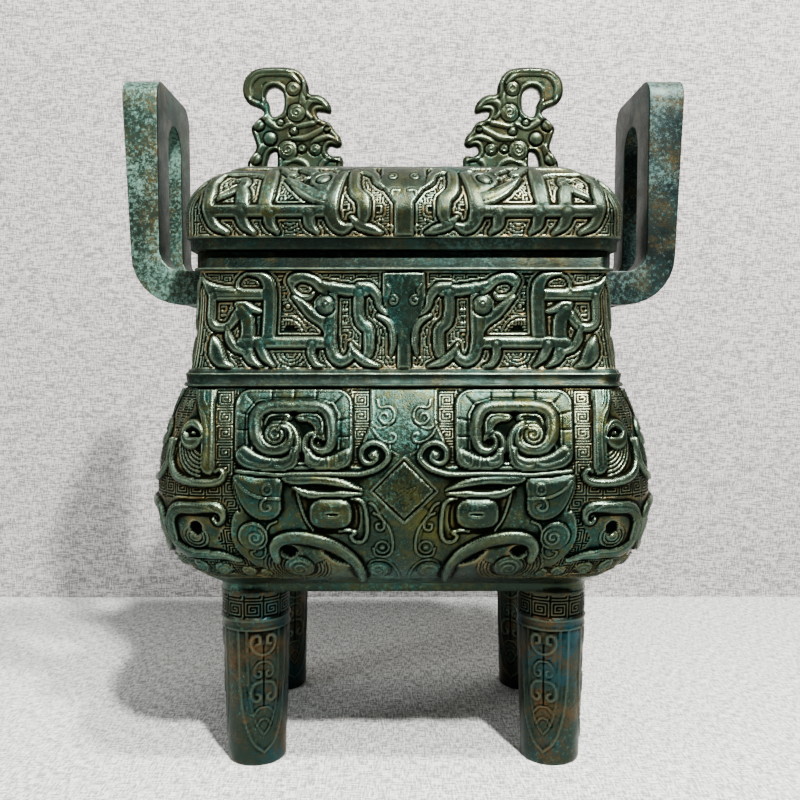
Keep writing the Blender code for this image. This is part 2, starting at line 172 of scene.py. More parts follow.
def remap(tree, value, low, high):
    """Turn low..high into a smooth 0..1; low and high are numbers or sockets."""
    node = tree.nodes.new("ShaderNodeMapRange")
    node.interpolation_type = "SMOOTHSTEP"
    for label, edge in (("Value", value), ("From Min", low), ("From Max", high)):
        feed(tree, edge, node.inputs[label])
    return node.outputs["Result"]


def noise(tree, scale, detail, rough, seed=(0.0, 0.0, 0.0), stretch=(1.0, 1.0, 1.0)):
    """Noise in the object's own metres, so that it never slides."""
    place = tree.nodes.new("ShaderNodeTexCoord")
    shift = tree.nodes.new("ShaderNodeMapping")
    shift.inputs["Location"].default_value = seed
    shift.inputs["Scale"].default_value = stretch
    tree.links.new(place.outputs["Object"], shift.inputs["Vector"])
    node = tree.nodes.new("ShaderNodeTexNoise")
    tree.links.new(shift.outputs["Vector"], node.inputs["Vector"])
    for label, value in (("Scale", scale), ("Detail", detail), ("Roughness", rough)):
        feed(tree, value, node.inputs[label])
    return node.outputs["Fac"]


MIX_SHARE, MIX_A, MIX_B, MIX_RESULT = 0, 6, 7, 2     # a Mix node's sockets when it blends colours


def mix(tree, share, first, second):
    """Blend two colours; each value is a socket or a colour."""
    node = tree.nodes.new("ShaderNodeMix")
    node.data_type = "RGBA"
    for number, value in ((MIX_SHARE, share), (MIX_A, first), (MIX_B, second)):
        feed(tree, value, node.inputs[number])
    return node.outputs[MIX_RESULT]


def attribute(tree, name):
    """A number that the mesh carries on its points."""
    node = tree.nodes.new("ShaderNodeAttribute")
    node.attribute_type = "GEOMETRY"
    node.attribute_name = name
    return node.outputs["Fac"]


GROUPS = {}


def keep(group):
    """Put a finished group away under its name."""
    GROUPS[group.name] = group
    print("node group", group.name, "has", len(group.nodes), "nodes")


# %% Drifting colours of the patina
def patina_group():
    """Broad drifts between three colours, with a finer mottle over them."""
    group, start, end = new_group(
        "patina_drift",
        {"Ground": (0.02, 0.04, 0.03), "Second": (0.03, 0.09, 0.08), "Third": (0.08, 0.06, 0.02),
         "Second share": 0.5, "Third share": 0.4, "Size": 30.0},
        {"Color": COLOUR, "Drift": FLOAT})
    size = start["Size"]
    broad = noise(group, size, 3.0, 0.55)
    other = noise(group, math_node(group, "MULTIPLY", size, 1.7), 4.0, 0.6, seed=(3.1, 1.7, 0.4))
    fine = noise(group, math_node(group, "MULTIPLY", size, 14.0), 5.0, 0.7, seed=(0.7, 5.2, 2.4))
    broad = math_node(group, "MULTIPLY_ADD", fine, 0.8, math_node(group, "SUBTRACT", broad, 0.4))
    other = math_node(group, "MULTIPLY_ADD", fine, -0.8, math_node(group, "ADD", other, 0.4))
    second = remap(group, broad, math_node(group, "SUBTRACT", 0.78, math_node(
        group, "MULTIPLY", start["Second share"], 0.5)), 0.80)
    third = remap(group, other, math_node(group, "SUBTRACT", 0.80, math_node(
        group, "MULTIPLY", start["Third share"], 0.5)), 0.84)
    colour = mix(group, second, start["Ground"], start["Second"])
    colour = mix(group, third, colour, start["Third"])
    group.links.new(colour, end["Color"])
    group.links.new(broad, end["Drift"])
    return group


keep(patina_group())


# %% Ridges and hollows of the relief
def relief_group():
    """Masks of ridges pale with wear and painted highlight, hollows dark with dirt and painted shade, and
    coiled ground, from numbers on each mesh.
    """
    group, start, end = new_group("relief_wear_and_light", {"Ridge": 0.5, "Hollow": 0.5, "Broken": 0.5},
                                  {"Rubbed and highlight": FLOAT, "Dirt and shade": FLOAT, "Coiled": FLOAT})
    spots = noise(group, 260.0, 4.0, 0.65, seed=(1.3, 0.2, 4.0))
    broken = math_node(group, "MULTIPLY", math_node(group, "SUBTRACT", spots, 0.5),
                       start["Broken"])
    up = math_node(group, "ADD", attribute(group, "ridge"), broken)
    # painted top light: the pale ridge colour is full on faces that look up or sideways and falls to a
    # quarter on faces that look down
    facing = group.nodes.new("ShaderNodeNewGeometry")
    normal = group.nodes.new("ShaderNodeSeparateXYZ")
    group.links.new(facing.outputs["Normal"], normal.inputs["Vector"])
    lit_from_above = remap(group, normal.outputs["Z"], -0.75, 0.15)
    lit_from_above = math_node(group, "MULTIPLY_ADD", lit_from_above, 0.75, 0.25)
    # pale ridges: rubbed metal and a painted highlight
    rubbed_and_highlight = math_node(group, "MULTIPLY", remap(group, up, 0.12, 0.60), lit_from_above)
    rubbed_and_highlight = math_node(group, "MULTIPLY", rubbed_and_highlight, start["Ridge"], clamp=True)
    # dark hollows: dirt, with a painted shade that deepens where the relief lies low
    down = remap(group, math_node(group, "ADD", attribute(group, "hollow"), broken), 0.02, 0.45)
    dirt_and_shade = math_node(group, "MULTIPLY", down, start["Hollow"], clamp=True)
    group.links.new(rubbed_and_highlight, end["Rubbed and highlight"])
    group.links.new(dirt_and_shade, end["Dirt and shade"])
    group.links.new(attribute(group, "coiled"), end["Coiled"])
    return group


keep(relief_group())


# %% Crusts and speckles
def speckle_group():
    """Small crusts of verdigris, gathered in patches."""
    group, start, end = new_group("speckle", {"Size": 400.0, "Amount": 0.4, "Patchy": 0.5},
                                  {"Mask": FLOAT})
    fine = noise(group, start["Size"], 6.0, 0.75, seed=(2.0, 7.7, 1.1))
    patches = noise(group, 26.0, 3.0, 0.6, seed=(5.5, 0.3, 2.2))
    patches = math_node(group, "MULTIPLY", math_node(group, "SUBTRACT", patches, 0.5),
                        start["Patchy"])
    total = math_node(group, "ADD", math_node(group, "ADD", fine, patches), math_node(
        group, "MULTIPLY", start["Amount"], 0.35))
    group.links.new(remap(group, total, 0.58, 0.80), end["Mask"])
    return group


keep(speckle_group())


# %% Skin of the casting
def skin_group():
    """The fine unevenness of cast metal, as a height for a bump and a change of gloss."""
    group, start, end = new_group("cast_skin", {"Grain": 900.0, "Gloss": 0.45, "Gloss change": 0.15},
                                  {"Height": FLOAT, "Roughness": FLOAT})
    fine = noise(group, start["Grain"], 4.0, 0.6, seed=(0.1, 0.9, 8.0))
    soft = noise(group, 150.0, 3.0, 0.5, seed=(4.2, 4.4, 0.6))
    height = math_node(group, "MULTIPLY_ADD", soft, 1.4, fine)
    rough = math_node(group, "MULTIPLY_ADD", math_node(group, "SUBTRACT", soft, 0.5),
                      start["Gloss change"], start["Gloss"])
    rough = math_node(group, "MULTIPLY_ADD", math_node(group, "SUBTRACT", fine, 0.5),
                      start["Gloss change"], rough, clamp=True)
    group.links.new(height, end["Height"])
    group.links.new(rough, end["Roughness"])
    return group


keep(skin_group())


# %% Weave of a cloth
def weave_group():
    """Crossed threads with slubs, for the cloths under and behind the object."""
    group, start, end = new_group("weave", {"Threads": 900.0, "Slub": 0.5},
                                  {"Height": FLOAT, "Shade": FLOAT})
    place = group.nodes.new("ShaderNodeTexCoord")
    parts = group.nodes.new("ShaderNodeSeparateXYZ")
    group.links.new(place.outputs["Object"], parts.inputs["Vector"])
    across = math_node(group, "SINE", math_node(group, "MULTIPLY", parts.outputs["X"],
                                                start["Threads"]))
    depth = math_node(group, "ADD", parts.outputs["Y"], parts.outputs["Z"])
    along = math_node(group, "SINE", math_node(group, "MULTIPLY", depth, start["Threads"]))
    threads = math_node(group, "MULTIPLY", across, along)
    lines = noise(group, 520.0, 5.0, 0.75, stretch=(0.4, 2.6, 2.6))
    posts = noise(group, 520.0, 5.0, 0.75, seed=(7.0, 3.0, 1.0), stretch=(2.6, 0.4, 0.4))
    slub = math_node(group, "ADD", lines, posts)
    group.links.new(math_node(group, "MULTIPLY_ADD", slub, 2.0, math_node(
        group, "MULTIPLY", threads, 0.4)), end["Height"])
    shade = math_node(group, "MULTIPLY", math_node(group, "SUBTRACT", slub, 1.0), start["Slub"])
    group.links.new(math_node(group, "ADD", shade, 0.5, clamp=True), end["Shade"])
    return group


keep(weave_group())

# %% [markdown]
# ## The finishes
#
# All the metal is one bronze, but its patina differs from place to place: the carved zones are
# dark with pale ridges, partly rubbed and partly a painted highlight, the plain bands are darker
# with painted shade and painted dark reflection, the ears are plain and speckled, the legs lean to
# blue with brown patches. One function builds such a finish from the groups, and a short list of
# values says how each zone differs. Metallic stays below one because the patina is a crust over
# the metal.

# %% From groups to a material
def put_group(tree, name, **values):
    """Place a group in a material; keyword names are its inputs, with _ for a space."""
    node = tree.nodes.new("ShaderNodeGroup")
    node.node_tree = GROUPS[name]
    for label, value in values.items():
        feed(tree, value, node.inputs[label.replace("_", " ")])
    return node


def new_finish(name):
    """A material with nodes, as (material, its tree, its shader)."""
    made = bpy.data.materials.new(name)
    made.use_nodes = True
    return made, made.node_tree, made.node_tree.nodes["Principled BSDF"]


def add_bump(tree, shader, height, strength, distance):
    """Let a height tilt the light on the surface."""
    bump = tree.nodes.new("ShaderNodeBump")
    for label, value in (("Strength", strength), ("Distance", distance), ("Height", height)):
        feed(tree, value, bump.inputs[label])
    tree.links.new(bump.outputs["Normal"], shader.inputs["Normal"])


print("groups to place:", sorted(GROUPS))


# %% One bronze finish
def bronze(name, ground, second, third, shares, low, rubbed_and_highlight, dirt_and_shade, crust, gloss, metal):
    """A patinated bronze: drifting colours, coiled ground, dirt with painted shade in the hollows,
    crusts, ridges rubbed pale with a painted highlight, cast skin.

    The shares are those of the second and third colour and the size of their drift. Low, the
    rubbed ridges with their painted highlight, the dirt with its painted shade, and crust are each
    a colour and how much of it shows.
    """
    made, tree, shader = new_finish(name)
    drift = put_group(tree, "patina_drift", Ground=ground, Second=second, Third=third,
                      Second_share=shares[0], Third_share=shares[1], Size=shares[2])
    wear_and_light = put_group(tree, "relief_wear_and_light", Ridge=rubbed_and_highlight[3], Hollow=dirt_and_shade[3], Broken=0.5)
    spots = put_group(tree, "speckle", Size=760.0, Amount=crust[3], Patchy=0.55)
    skin = put_group(tree, "cast_skin", Grain=1700.0, Gloss=gloss, Gloss_change=0.35)
    warm = math_node(tree, "MULTIPLY", wear_and_light.outputs["Coiled"], low[3])
    warm = math_node(tree, "MULTIPLY", warm, remap(tree, drift.outputs["Drift"], 0.66, 0.44))
    colour = mix(tree, warm, drift.outputs["Color"], low[:3])
    colour = mix(tree, spots.outputs["Mask"], colour, crust[:3])
    colour = mix(tree, wear_and_light.outputs["Dirt and shade"], colour, dirt_and_shade[:3])
    colour = mix(tree, wear_and_light.outputs["Rubbed and highlight"], colour, rubbed_and_highlight[:3])
    tree.links.new(colour, shader.inputs["Base Color"])
    rough = math_node(tree, "MULTIPLY_ADD", spots.outputs["Mask"], 0.15, skin.outputs["Roughness"])
    rough = math_node(tree, "MULTIPLY_ADD", wear_and_light.outputs["Dirt and shade"], 0.25, rough)
    rough = math_node(tree, "MULTIPLY_ADD", wear_and_light.outputs["Rubbed and highlight"], -0.12, rough, clamp=True)
    tree.links.new(rough, shader.inputs["Roughness"])
    metallic = math_node(tree, "MULTIPLY_ADD", wear_and_light.outputs["Rubbed and highlight"], 0.3, metal)
    metallic = math_node(tree, "MULTIPLY_ADD", wear_and_light.outputs["Dirt and shade"], 0.4, metallic)
    metallic = math_node(tree, "MULTIPLY_ADD", spots.outputs["Mask"], -0.25, metallic, clamp=True)
    tree.links.new(metallic, shader.inputs["Metallic"])
    shader.inputs["Specular IOR Level"].default_value = 0.25
    add_bump(tree, shader, skin.outputs["Height"], 0.6, 0.18 * MM)
    print("finish", name)
    return made


# %% The bronzes of this object
DARK_GREEN = (0.017, 0.029, 0.021)
TEAL = (0.017, 0.054, 0.047)
OLIVE = (0.060, 0.060, 0.018)
BROWN = (0.050, 0.032, 0.014)
GOLD = (0.150, 0.112, 0.050)
# near-black of the hollows: dirt and painted shade
DIRT_AND_SHADE = (0.0010, 0.0022, 0.0014)
# pale colour of the ridges: rubbed metal and a painted highlight
PALE_WEAR_AND_HIGHLIGHT = (0.20, 0.26, 0.19)
VERDIGRIS = (0.050, 0.135, 0.112)

# each finish, in the order that bronze() asks for
RECIPES = {
    "belly_bronze": (DARK_GREEN, TEAL, OLIVE, (0.55, 0.75, 24.0), (*GOLD, 0.65), (*PALE_WEAR_AND_HIGHLIGHT, 0.36),
                     (*DIRT_AND_SHADE, 0.95), (*VERDIGRIS, 0.12), 0.32, 0.75),
    "neck_bronze": (DARK_GREEN, TEAL, OLIVE, (0.6, 0.6, 34.0), (*GOLD, 0.9), (*PALE_WEAR_AND_HIGHLIGHT, 0.6),
                    (*DIRT_AND_SHADE, 0.95), (*VERDIGRIS, 0.14), 0.32, 0.72),
    # the plain bands: darker colours as painted shade and painted dark reflection
    "shaded_band_bronze": ((0.006, 0.011, 0.008), (0.008, 0.024, 0.020), (0.034, 0.030, 0.011),
                    (0.6, 0.6, 60.0), (*BROWN, 0.1), (*PALE_WEAR_AND_HIGHLIGHT, 0.5), (*DIRT_AND_SHADE, 0.9),
                    (0.020, 0.050, 0.042, 0.1), 0.40, 0.7),
    "lid_bronze": ((0.021, 0.029, 0.020), TEAL, OLIVE, (0.35, 0.7, 34.0), (*GOLD, 0.9),
                   (*PALE_WEAR_AND_HIGHLIGHT, 0.45), (*DIRT_AND_SHADE, 0.95), (*VERDIGRIS, 0.05), 0.34, 0.72),
    "crest_bronze": ((0.044, 0.058, 0.034), (0.030, 0.080, 0.062), (0.090, 0.066, 0.028),
                     (0.5, 0.6, 60.0), (*BROWN, 0.2), (*PALE_WEAR_AND_HIGHLIGHT, 0.35), (0.004, 0.005, 0.003, 0.8),
                     (*VERDIGRIS, 0.05), 0.36, 0.7),
    "leg_bronze": ((0.020, 0.033, 0.025), (0.013, 0.050, 0.062), (0.082, 0.048, 0.020),
                   (0.6, 0.8, 55.0), (*BROWN, 0.5), (*PALE_WEAR_AND_HIGHLIGHT, 0.17), (*DIRT_AND_SHADE, 0.9),
                   (*VERDIGRIS, 0.0), 0.34, 0.70),
    "ear_left_bronze": ((0.018, 0.029, 0.022), (0.036, 0.076, 0.064), (0.105, 0.080, 0.030),
                        (0.75, 0.75, 52.0), (*BROWN, 0.1), (*PALE_WEAR_AND_HIGHLIGHT, 0.3), (*DIRT_AND_SHADE, 0.9),
                        (0.115, 0.200, 0.165, 0.42), 0.42, 0.5),
    # the right ear's finish is the left ear's at about half the brightness
    "ear_right_bronze": ((0.009, 0.015, 0.014), (0.019, 0.041, 0.040), (0.062, 0.048, 0.020),
                         (0.75, 0.75, 52.0), (*BROWN, 0.1), (*PALE_WEAR_AND_HIGHLIGHT, 0.3), (*DIRT_AND_SHADE, 0.9),
                         (0.062, 0.110, 0.100, 0.36), 0.42, 0.5),
    "ear_inside_bronze": ((0.012, 0.020, 0.015), (0.012, 0.032, 0.030), (0.050, 0.044, 0.022),
                          (0.6, 0.6, 40.0), (*BROWN, 0.1), (*PALE_WEAR_AND_HIGHLIGHT, 0.3), (*DIRT_AND_SHADE, 0.9),
                          (*VERDIGRIS, 0.05), 0.45, 0.6),
    "inner_bronze": ((0.03, 0.045, 0.035), TEAL, BROWN, (0.4, 0.4, 24.0), (*BROWN, 0.1),
                     (*PALE_WEAR_AND_HIGHLIGHT, 0.2), (*DIRT_AND_SHADE, 0.6), (*VERDIGRIS, 0.2), 0.55, 0.45),
}
FINISHES = {name: bronze(name, *recipe) for name, recipe in RECIPES.items()}
print(len(FINISHES), "finishes in all")


# %% Woven cloth
def cloth(name, colour, threads, depth):
    """A matt woven cloth that shows only from its front, so that it never hides the object."""
    made, tree, shader = new_finish(name)
    weave = put_group(tree, "weave", Threads=threads, Slub=6.0)
    dark = tuple(0.36 * c for c in colour)
    tree.links.new(mix(tree, weave.outputs["Shade"], dark, colour), shader.inputs["Base Color"])
    shader.inputs["Roughness"].default_value = 0.95
    facing = tree.nodes.new("ShaderNodeNewGeometry")
    shown = math_node(tree, "SUBTRACT", 1.0, facing.outputs["Backfacing"])
    tree.links.new(shown, shader.inputs["Alpha"])
    add_bump(tree, shader, weave.outputs["Height"], 0.5, depth)
    return made


# %% Pale floor and wall
WALL_PLACE = 178 * MM    # how far behind the middle the wall stands
STAGE_SPAN = 6.0         # metres
CLOTH_THREADS = 2600.0


def add_stage(name, corners, finish):
    """One flat sheet of the stage."""
    mesh = bpy.data.meshes.new(name)
    mesh.from_pydata(corners, [], [(0, 1, 2, 3)])
    mesh.materials.append(finish)
    made = bpy.data.objects.new(name, mesh)
    bpy.context.collection.objects.link(made)


far = STAGE_SPAN / 2
add_stage("floor", [(-far, -far, 0), (far, -far, 0), (far, far, 0), (-far, far, 0)],
          cloth("floor_cloth", (0.66, 0.67, 0.65), CLOTH_THREADS, 0.10 * MM))
add_stage("wall", [(-far, WALL_PLACE, 0), (far, WALL_PLACE, 0), (far, WALL_PLACE, far),
                   (-far, WALL_PLACE, far)],
          cloth("wall_cloth", (0.47, 0.455, 0.45), CLOTH_THREADS, 0.15 * MM))
print("the wall stands", round(WALL_PLACE, 2), "m behind the middle")

# %% [markdown]
# ## A board of clay
#
# The relief of a ding was carved and pressed into clay moulds. Here a mould is a grid of heights
# over one side, in millimetres. A figure is drawn on it with a few strokes: strips that follow a
# path, patches inside an outline, round bosses, thin raised threads and thin cuts. Rolls, leaves
# and lines are the same strokes on smooth curves. Only half of a side is drawn, because the masks
# and dragons mirror about its middle.

# %% Curves for the strokes
def smooth(x):
    """0 below 0, 1 above 1, with a soft step between them."""
    x = np.clip(x, 0.0, 1.0)
    return x * x * (3 - 2 * x)


def curve(points, per=6):
    """A smooth curve through a few points."""
    p = np.array(points, float)
    if len(p) < 3:
        return p
    ends = np.vstack([2 * p[0] - p[1], p, 2 * p[-1] - p[-2]])
    t = np.linspace(0.0, 1.0, per, endpoint=False)[:, None]
    runs = [b + 0.5 * ((c - a) * t + (2 * a - 5 * b + 4 * c - d) * t ** 2
                       + (3 * b - a - 3 * c + d) * t ** 3)
            for a, b, c, d in zip(ends, ends[1:], ends[2:], ends[3:])]
    return np.vstack([*runs, p[-1:]])


def loop(points, per=5):
    """A smooth closed outline through a few points."""
    p = list(points)
    return curve(p[-1:] + p + p[:2], per)[per:-per]


def spiral(cx, cy, radius, start, turns):
    """A coil that winds in to a fifth of its radius; angles in degrees."""
    share = np.linspace(0.0, 1.0, int(abs(turns) * 14) + 3)
    angle = np.radians(start + 360 * turns * share)
    r = radius * (1 - 0.8 * share)
    return np.column_stack([cx + r * np.cos(angle), cy + r * np.sin(angle)])


def arc(cx, cy, radius, start, end, tall=1.0):
    """Part of a circle, or of an ellipse where tall isn't one."""
    angle = np.radians(np.linspace(start, end, int(abs(end - start) / 15) + 2))
    return np.column_stack([cx + radius * np.cos(angle), cy + radius * tall * np.sin(angle)])


def rounded(x0, y0, x1, y1, r):
    """A rectangle with round corners."""
    return np.vstack([arc(x1 - r, y1 - r, r, 0, 90), arc(x0 + r, y1 - r, r, 90, 180),
                      arc(x0 + r, y0 + r, r, 180, 270), arc(x1 - r, y0 + r, r, 270, 360)])


def square_coil(cells):
    """One square thunder spiral on a small grid: 1 on its line, 0 between."""
    tile = np.zeros((cells, cells))
    x, y, dx, dy = 0, 0, 1, 0
    tile[0, 0] = 1.0
    turned = 0
    while turned < 2:
        nx, ny, fx, fy = x + dx, y + dy, x + 2 * dx, y + 2 * dy
        inside = 0 <= nx < cells - 1 and 0 <= ny < cells - 1
        blocked = 0 <= fx < cells - 1 and 0 <= fy < cells - 1 and tile[fy, fx] > 0
        if inside and not blocked and tile[ny, nx] == 0:
            x, y = nx, ny
            tile[y, x] = 1.0
            turned = 0
        else:
            dx, dy = -dy, dx
            turned += 1
    return tile


print("a square coil of 12 cells has a line of", int(square_coil(12).sum()), "cells")


# %% The board
FAR = 99.0               # a distance beyond every stroke
MARGIN = 1.5             # how far the edge of a stroke may reach past its outline
COIL_DEPTH = 0.45        # from the line of a thunder spiral down to its ground


class Clay:
    """Heights over a grid, drawn on in millimetres: s from the middle outwards, t upwards.

    Its style, where it has one, is the level, crown and breadth of a dragon's bars.
    """

    def __init__(self, across, up, style=None):
        self.across, self.up, self.style = across, up, style
        self.s, self.t = np.meshgrid(across, up)
        self.h = np.zeros_like(self.s)

    def window(self, low, high):
        """The part of the grid round a stroke."""
        c0, c1 = np.searchsorted(self.across, (low[0] - MARGIN, high[0] + MARGIN))
        r0, r1 = np.searchsorted(self.up, (low[1] - MARGIN, high[1] + MARGIN))
        return slice(r0, r1), slice(c0, c1)

    def near_path(self, path, widths):
        """How far each point lies outside a strip, and how near its crown."""
        path = np.array(path, float)
        widths = np.atleast_1d(widths)
        places = np.linspace(0, 1, len(path))
        half = np.interp(places, np.linspace(0, 1, len(widths)), widths) / 2
        w = self.window(path.min(0) - half.max(), path.max(0) + half.max())
        s, t = self.s[w], self.t[w]
        gap, crown = np.full(s.shape, FAR), np.zeros(s.shape)
        for (ax, ay), (cx, cy), r0, r1 in zip(path, path[1:], half, half[1:]):
            bx, by = cx - ax, cy - ay
            k = np.clip(((s - ax) * bx + (t - ay) * by) / (bx * bx + by * by + 1e-9), 0, 1)
            d = np.hypot(s - ax - k * bx, t - ay - k * by)
            r = r0 + k * (r1 - r0)
            near = d - r < gap
            gap = np.where(near, d - r, gap)
            crown = np.where(near, 1 - (d / np.maximum(r, 1e-6)) ** 2, crown)
        return w, gap, np.clip(crown, 0, 1)

    def near_outline(self, outline):
        """How far each point lies outside a closed outline; less than zero inside it."""
        outline = np.array(outline, float)
        w = self.window(outline.min(0), outline.max(0))
        s, t = self.s[w], self.t[w]
        gap, inside = np.full(s.shape, FAR), np.zeros(s.shape, bool)
        for (ax, ay), (cx, cy) in zip(outline, np.roll(outline, -1, axis=0)):
            bx, by = cx - ax, cy - ay
            k = np.clip(((s - ax) * bx + (t - ay) * by) / (bx * bx + by * by + 1e-9), 0, 1)
            gap = np.minimum(gap, np.hypot(s - ax - k * bx, t - ay - k * by))
            inside ^= ((ay > t) != (cy > t)) & (s < ax + bx * (t - ay) / (by or 1e-9))
        return w, np.where(inside, -gap, gap)

    def blend(self, w, gap, level, soft=0.5):
        """Draw the clay towards a level inside a stroke, over a soft edge."""
        self.h[w] += (level - self.h[w]) * smooth(0.5 - gap / soft)

    def strip(self, path, widths, level, crown, soft=0.5):
        """A raised band along a path, with a rounded crown."""
        w, gap, top = self.near_path(path, widths)
        self.blend(w, gap, level + crown * top, soft)

    def patch(self, outline, level, dome=0.0, reach=3.0, soft=0.5):
        """A raised or sunk field inside an outline."""
        w, gap = self.near_outline(outline)
        self.blend(w, gap, level + dome * smooth(-gap / reach), soft)

    def thread(self, path, height, width=0.5):
        """A thin raised line with a fine groove along both its sides."""
        w, gap, _ = self.near_path(path, width)
        self.h[w] += height * smooth(0.5 - gap / 0.5) - 0.4 * height * smooth(1 - abs(gap - 0.5) / 0.5)

    def cut(self, path, depth, width=0.5):
        """A thin groove."""
        w, gap, _ = self.near_path(path, width)
        self.h[w] -= depth * smooth(0.5 - gap / 0.5)

    def line(self, points, height, width=0.5, per=6):
        """A thread along a smooth curve."""
        self.thread(curve(points, per), height, width)

    def roll(self, points, widths, level, crown, per=6):
        """A strip along a smooth curve."""
        self.strip(curve(points, per), widths, level, crown)

    def leaf(self, points, level, dome=0.0, reach=3.0, soft=0.5, per=4):
        """A patch inside a smooth outline."""
        self.patch(loop(points, per), level, dome, reach, soft)

    def boss(self, x, y, a, b, level, crown, power=2.0):
        """A round, oval or boxy knob."""
        w = self.window((x - a, y - b), (x + a, y + b))
        r = (abs((self.s[w] - x) / a) ** power + abs((self.t[w] - y) / b) ** power) ** (1 / power)
        self.blend(w, (r - 1) * min(a, b), level + crown * np.clip(1 - r ** 2, 0, 1))

    def coils(self, outline, cells=12, start=(0.0, 0.0)):
        """Fill an outline with square thunder spirals, one line to two steps of the grid."""
        w, gap = self.near_outline(outline)
        tile = square_coil(cells)
        rows, columns = np.mgrid[w[0], w[1]]
        places = []
        for index, axis, first in ((rows, self.up, start[1]), (columns, self.across, start[0])):
            step = index - np.searchsorted(axis, first)
            flip = (step // cells) % 2 == 1
            places.append(np.where(flip, cells - 2 - step % cells, step % cells) % cells)
        value = -COIL_DEPTH * (1 - tile[places[0], places[1]])
        self.h[w] = np.where(gap < 0, value, self.h[w])


print("the board's strokes:", [k for k in vars(Clay) if not k.startswith("_")])


# %% A trial piece
def try_out(*figures, style=None):
    """Draw each figure alone on a coarse board, and say how large and how high it comes out."""
    for figure in figures:
        c = Clay(np.arange(0, 90, 1.0), np.arange(0, 90, 1.0), style)
        figure(c)
        print(figure.__name__, "covers", int((abs(c.h) > 0.1).sum()), "square millimetres and is",
              round(float(c.h.max()), 2), "mm high")

# %% [markdown]
# ## The zones of the body
#
# Each zone is one profile, swept round a rectangle with round corners. The swell of the belly,
# the draw of the neck and the dome of the lid repeat the packed model's own curves, only with
# finer steps. A profile row is (half length, height, corner radius), and the short sides lie
# nearer to the middle by a fixed step.

# %% Sizes of the body, in millimetres
MOUTH_LENGTH, MOUTH_WIDTH, WALL = 153.0, 110.0, 4.3
LEG_HEIGHT, BASE_BAND, BELLY_HEIGHT = 69.0, 3.0, 75.5
COLLAR_HEIGHT, NECK_HEIGHT, RIM_HEIGHT = 6.5, 36.0, 7.0
NECK_DRAW, LIP_GAP, LIP_THICKNESS = 0.7, 0.6, 3.0
RIM_HALF = MOUTH_LENGTH / 2
SIDE_STEP = (MOUTH_LENGTH - MOUTH_WIDTH) / 2
BELLY_Z = LEG_HEIGHT + BASE_BAND
COLLAR_Z = BELLY_Z + BELLY_HEIGHT
NECK_Z = COLLAR_Z + COLLAR_HEIGHT
RIM_Z = NECK_Z + NECK_HEIGHT
MOUTH_Z = RIM_Z + RIM_HEIGHT
LID_Z = MOUTH_Z + 0.3
LID_RIM, LID_SIDE, LID_DOME, LID_DOME_INSET = 4.7, 8.0, 20.0, 16.5
LID_HALF = RIM_HALF + 3.5
LIP_HALF = RIM_HALF - NECK_DRAW - WALL - LIP_GAP
DOME_Z = LID_Z + LID_RIM + LID_SIDE
TOP_Z = DOME_Z + LID_DOME
BASE_HALF, SHOULDER_HALF, BELLY_HALF = RIM_HALF - 6.0, RIM_HALF + 4.3, RIM_HALF + 15.9

print("height of the mouth", MOUTH_Z, "and of the lid's top", TOP_Z)


# %% Profiles
def bezier(p0, p1, p2, p3):
    """Sixty points along one cubic curve."""
    t = np.linspace(0.0, 1.0, 60)[:, None]
    return ((1 - t) ** 3 * np.array(p0) + 3 * (1 - t) ** 2 * t * np.array(p1)
            + 3 * (1 - t) * t ** 2 * np.array(p2) + t ** 3 * np.array(p3))


def belly_rows():
    """From the foot of the base band, out over the swell and in to the shoulder."""
    widest = BELLY_Z + 0.45 * BELLY_HEIGHT
    low = bezier((BASE_HALF, BELLY_Z),
                 (BASE_HALF + 0.57 * (BELLY_HALF - BASE_HALF), BELLY_Z + 0.08 * BELLY_HEIGHT),
                 (BELLY_HALF, BELLY_Z + 0.21 * BELLY_HEIGHT), (BELLY_HALF, widest))
    high = bezier((BELLY_HALF, widest), (BELLY_HALF, widest + 0.19 * BELLY_HEIGHT),
                  (SHOULDER_HALF + 0.45 * (BELLY_HALF - SHOULDER_HALF), COLLAR_Z - 0.13 * BELLY_HEIGHT),
                  (SHOULDER_HALF, COLLAR_Z))
    rows = np.vstack([low, high[1:]])
    edge = np.where(rows[:, 1] < widest, BASE_HALF, SHOULDER_HALF)
    corner = np.where(rows[:, 1] < widest, 8.0, 10.0)
    swell = (rows[:, 0] - edge) / (BELLY_HALF - edge)
    rows = np.column_stack([rows, corner + (23.0 - corner) * swell])
    return np.vstack([[BASE_HALF, LEG_HEIGHT, 8.0], rows])


def neck_rows():
    """The collar's two beads, the drawn-in neck, and the plain rim."""
    up = np.linspace(0.0, 1.0, 40)
    neck = np.column_stack([RIM_HALF - NECK_DRAW + 3.2 * (1 - up) ** 2, NECK_Z + NECK_HEIGHT * up,
                            6 - up])
    collar = [(SHOULDER_HALF, COLLAR_Z, 10), (RIM_HALF + 5.2, COLLAR_Z + 0.2, 10),
              (RIM_HALF + 5.5, COLLAR_Z + 0.7, 10), (RIM_HALF + 5.2, COLLAR_Z + 1.3, 10),
              (RIM_HALF + 4.5, COLLAR_Z + 1.7, 10), (RIM_HALF + 4.4, COLLAR_Z + 4.4, 7.4),
              (RIM_HALF + 4.4, COLLAR_Z + 4.9, 7), (RIM_HALF + 3.6, COLLAR_Z + 5.3, 6.4),
              (RIM_HALF + 3.3, COLLAR_Z + 6.1, 6)]
    rim = [(RIM_HALF + 0.6, RIM_Z + 0.1, 5), (RIM_HALF + 1.0, RIM_Z + 0.5, 5),
           (RIM_HALF + 0.8, RIM_Z + 1.0, 5), (RIM_HALF, RIM_Z + 1.3, 5),
           (RIM_HALF, MOUTH_Z - 0.4, 5), (RIM_HALF - 0.4, MOUTH_Z, 4.6)]
    return np.array(collar), neck, np.array(rim)


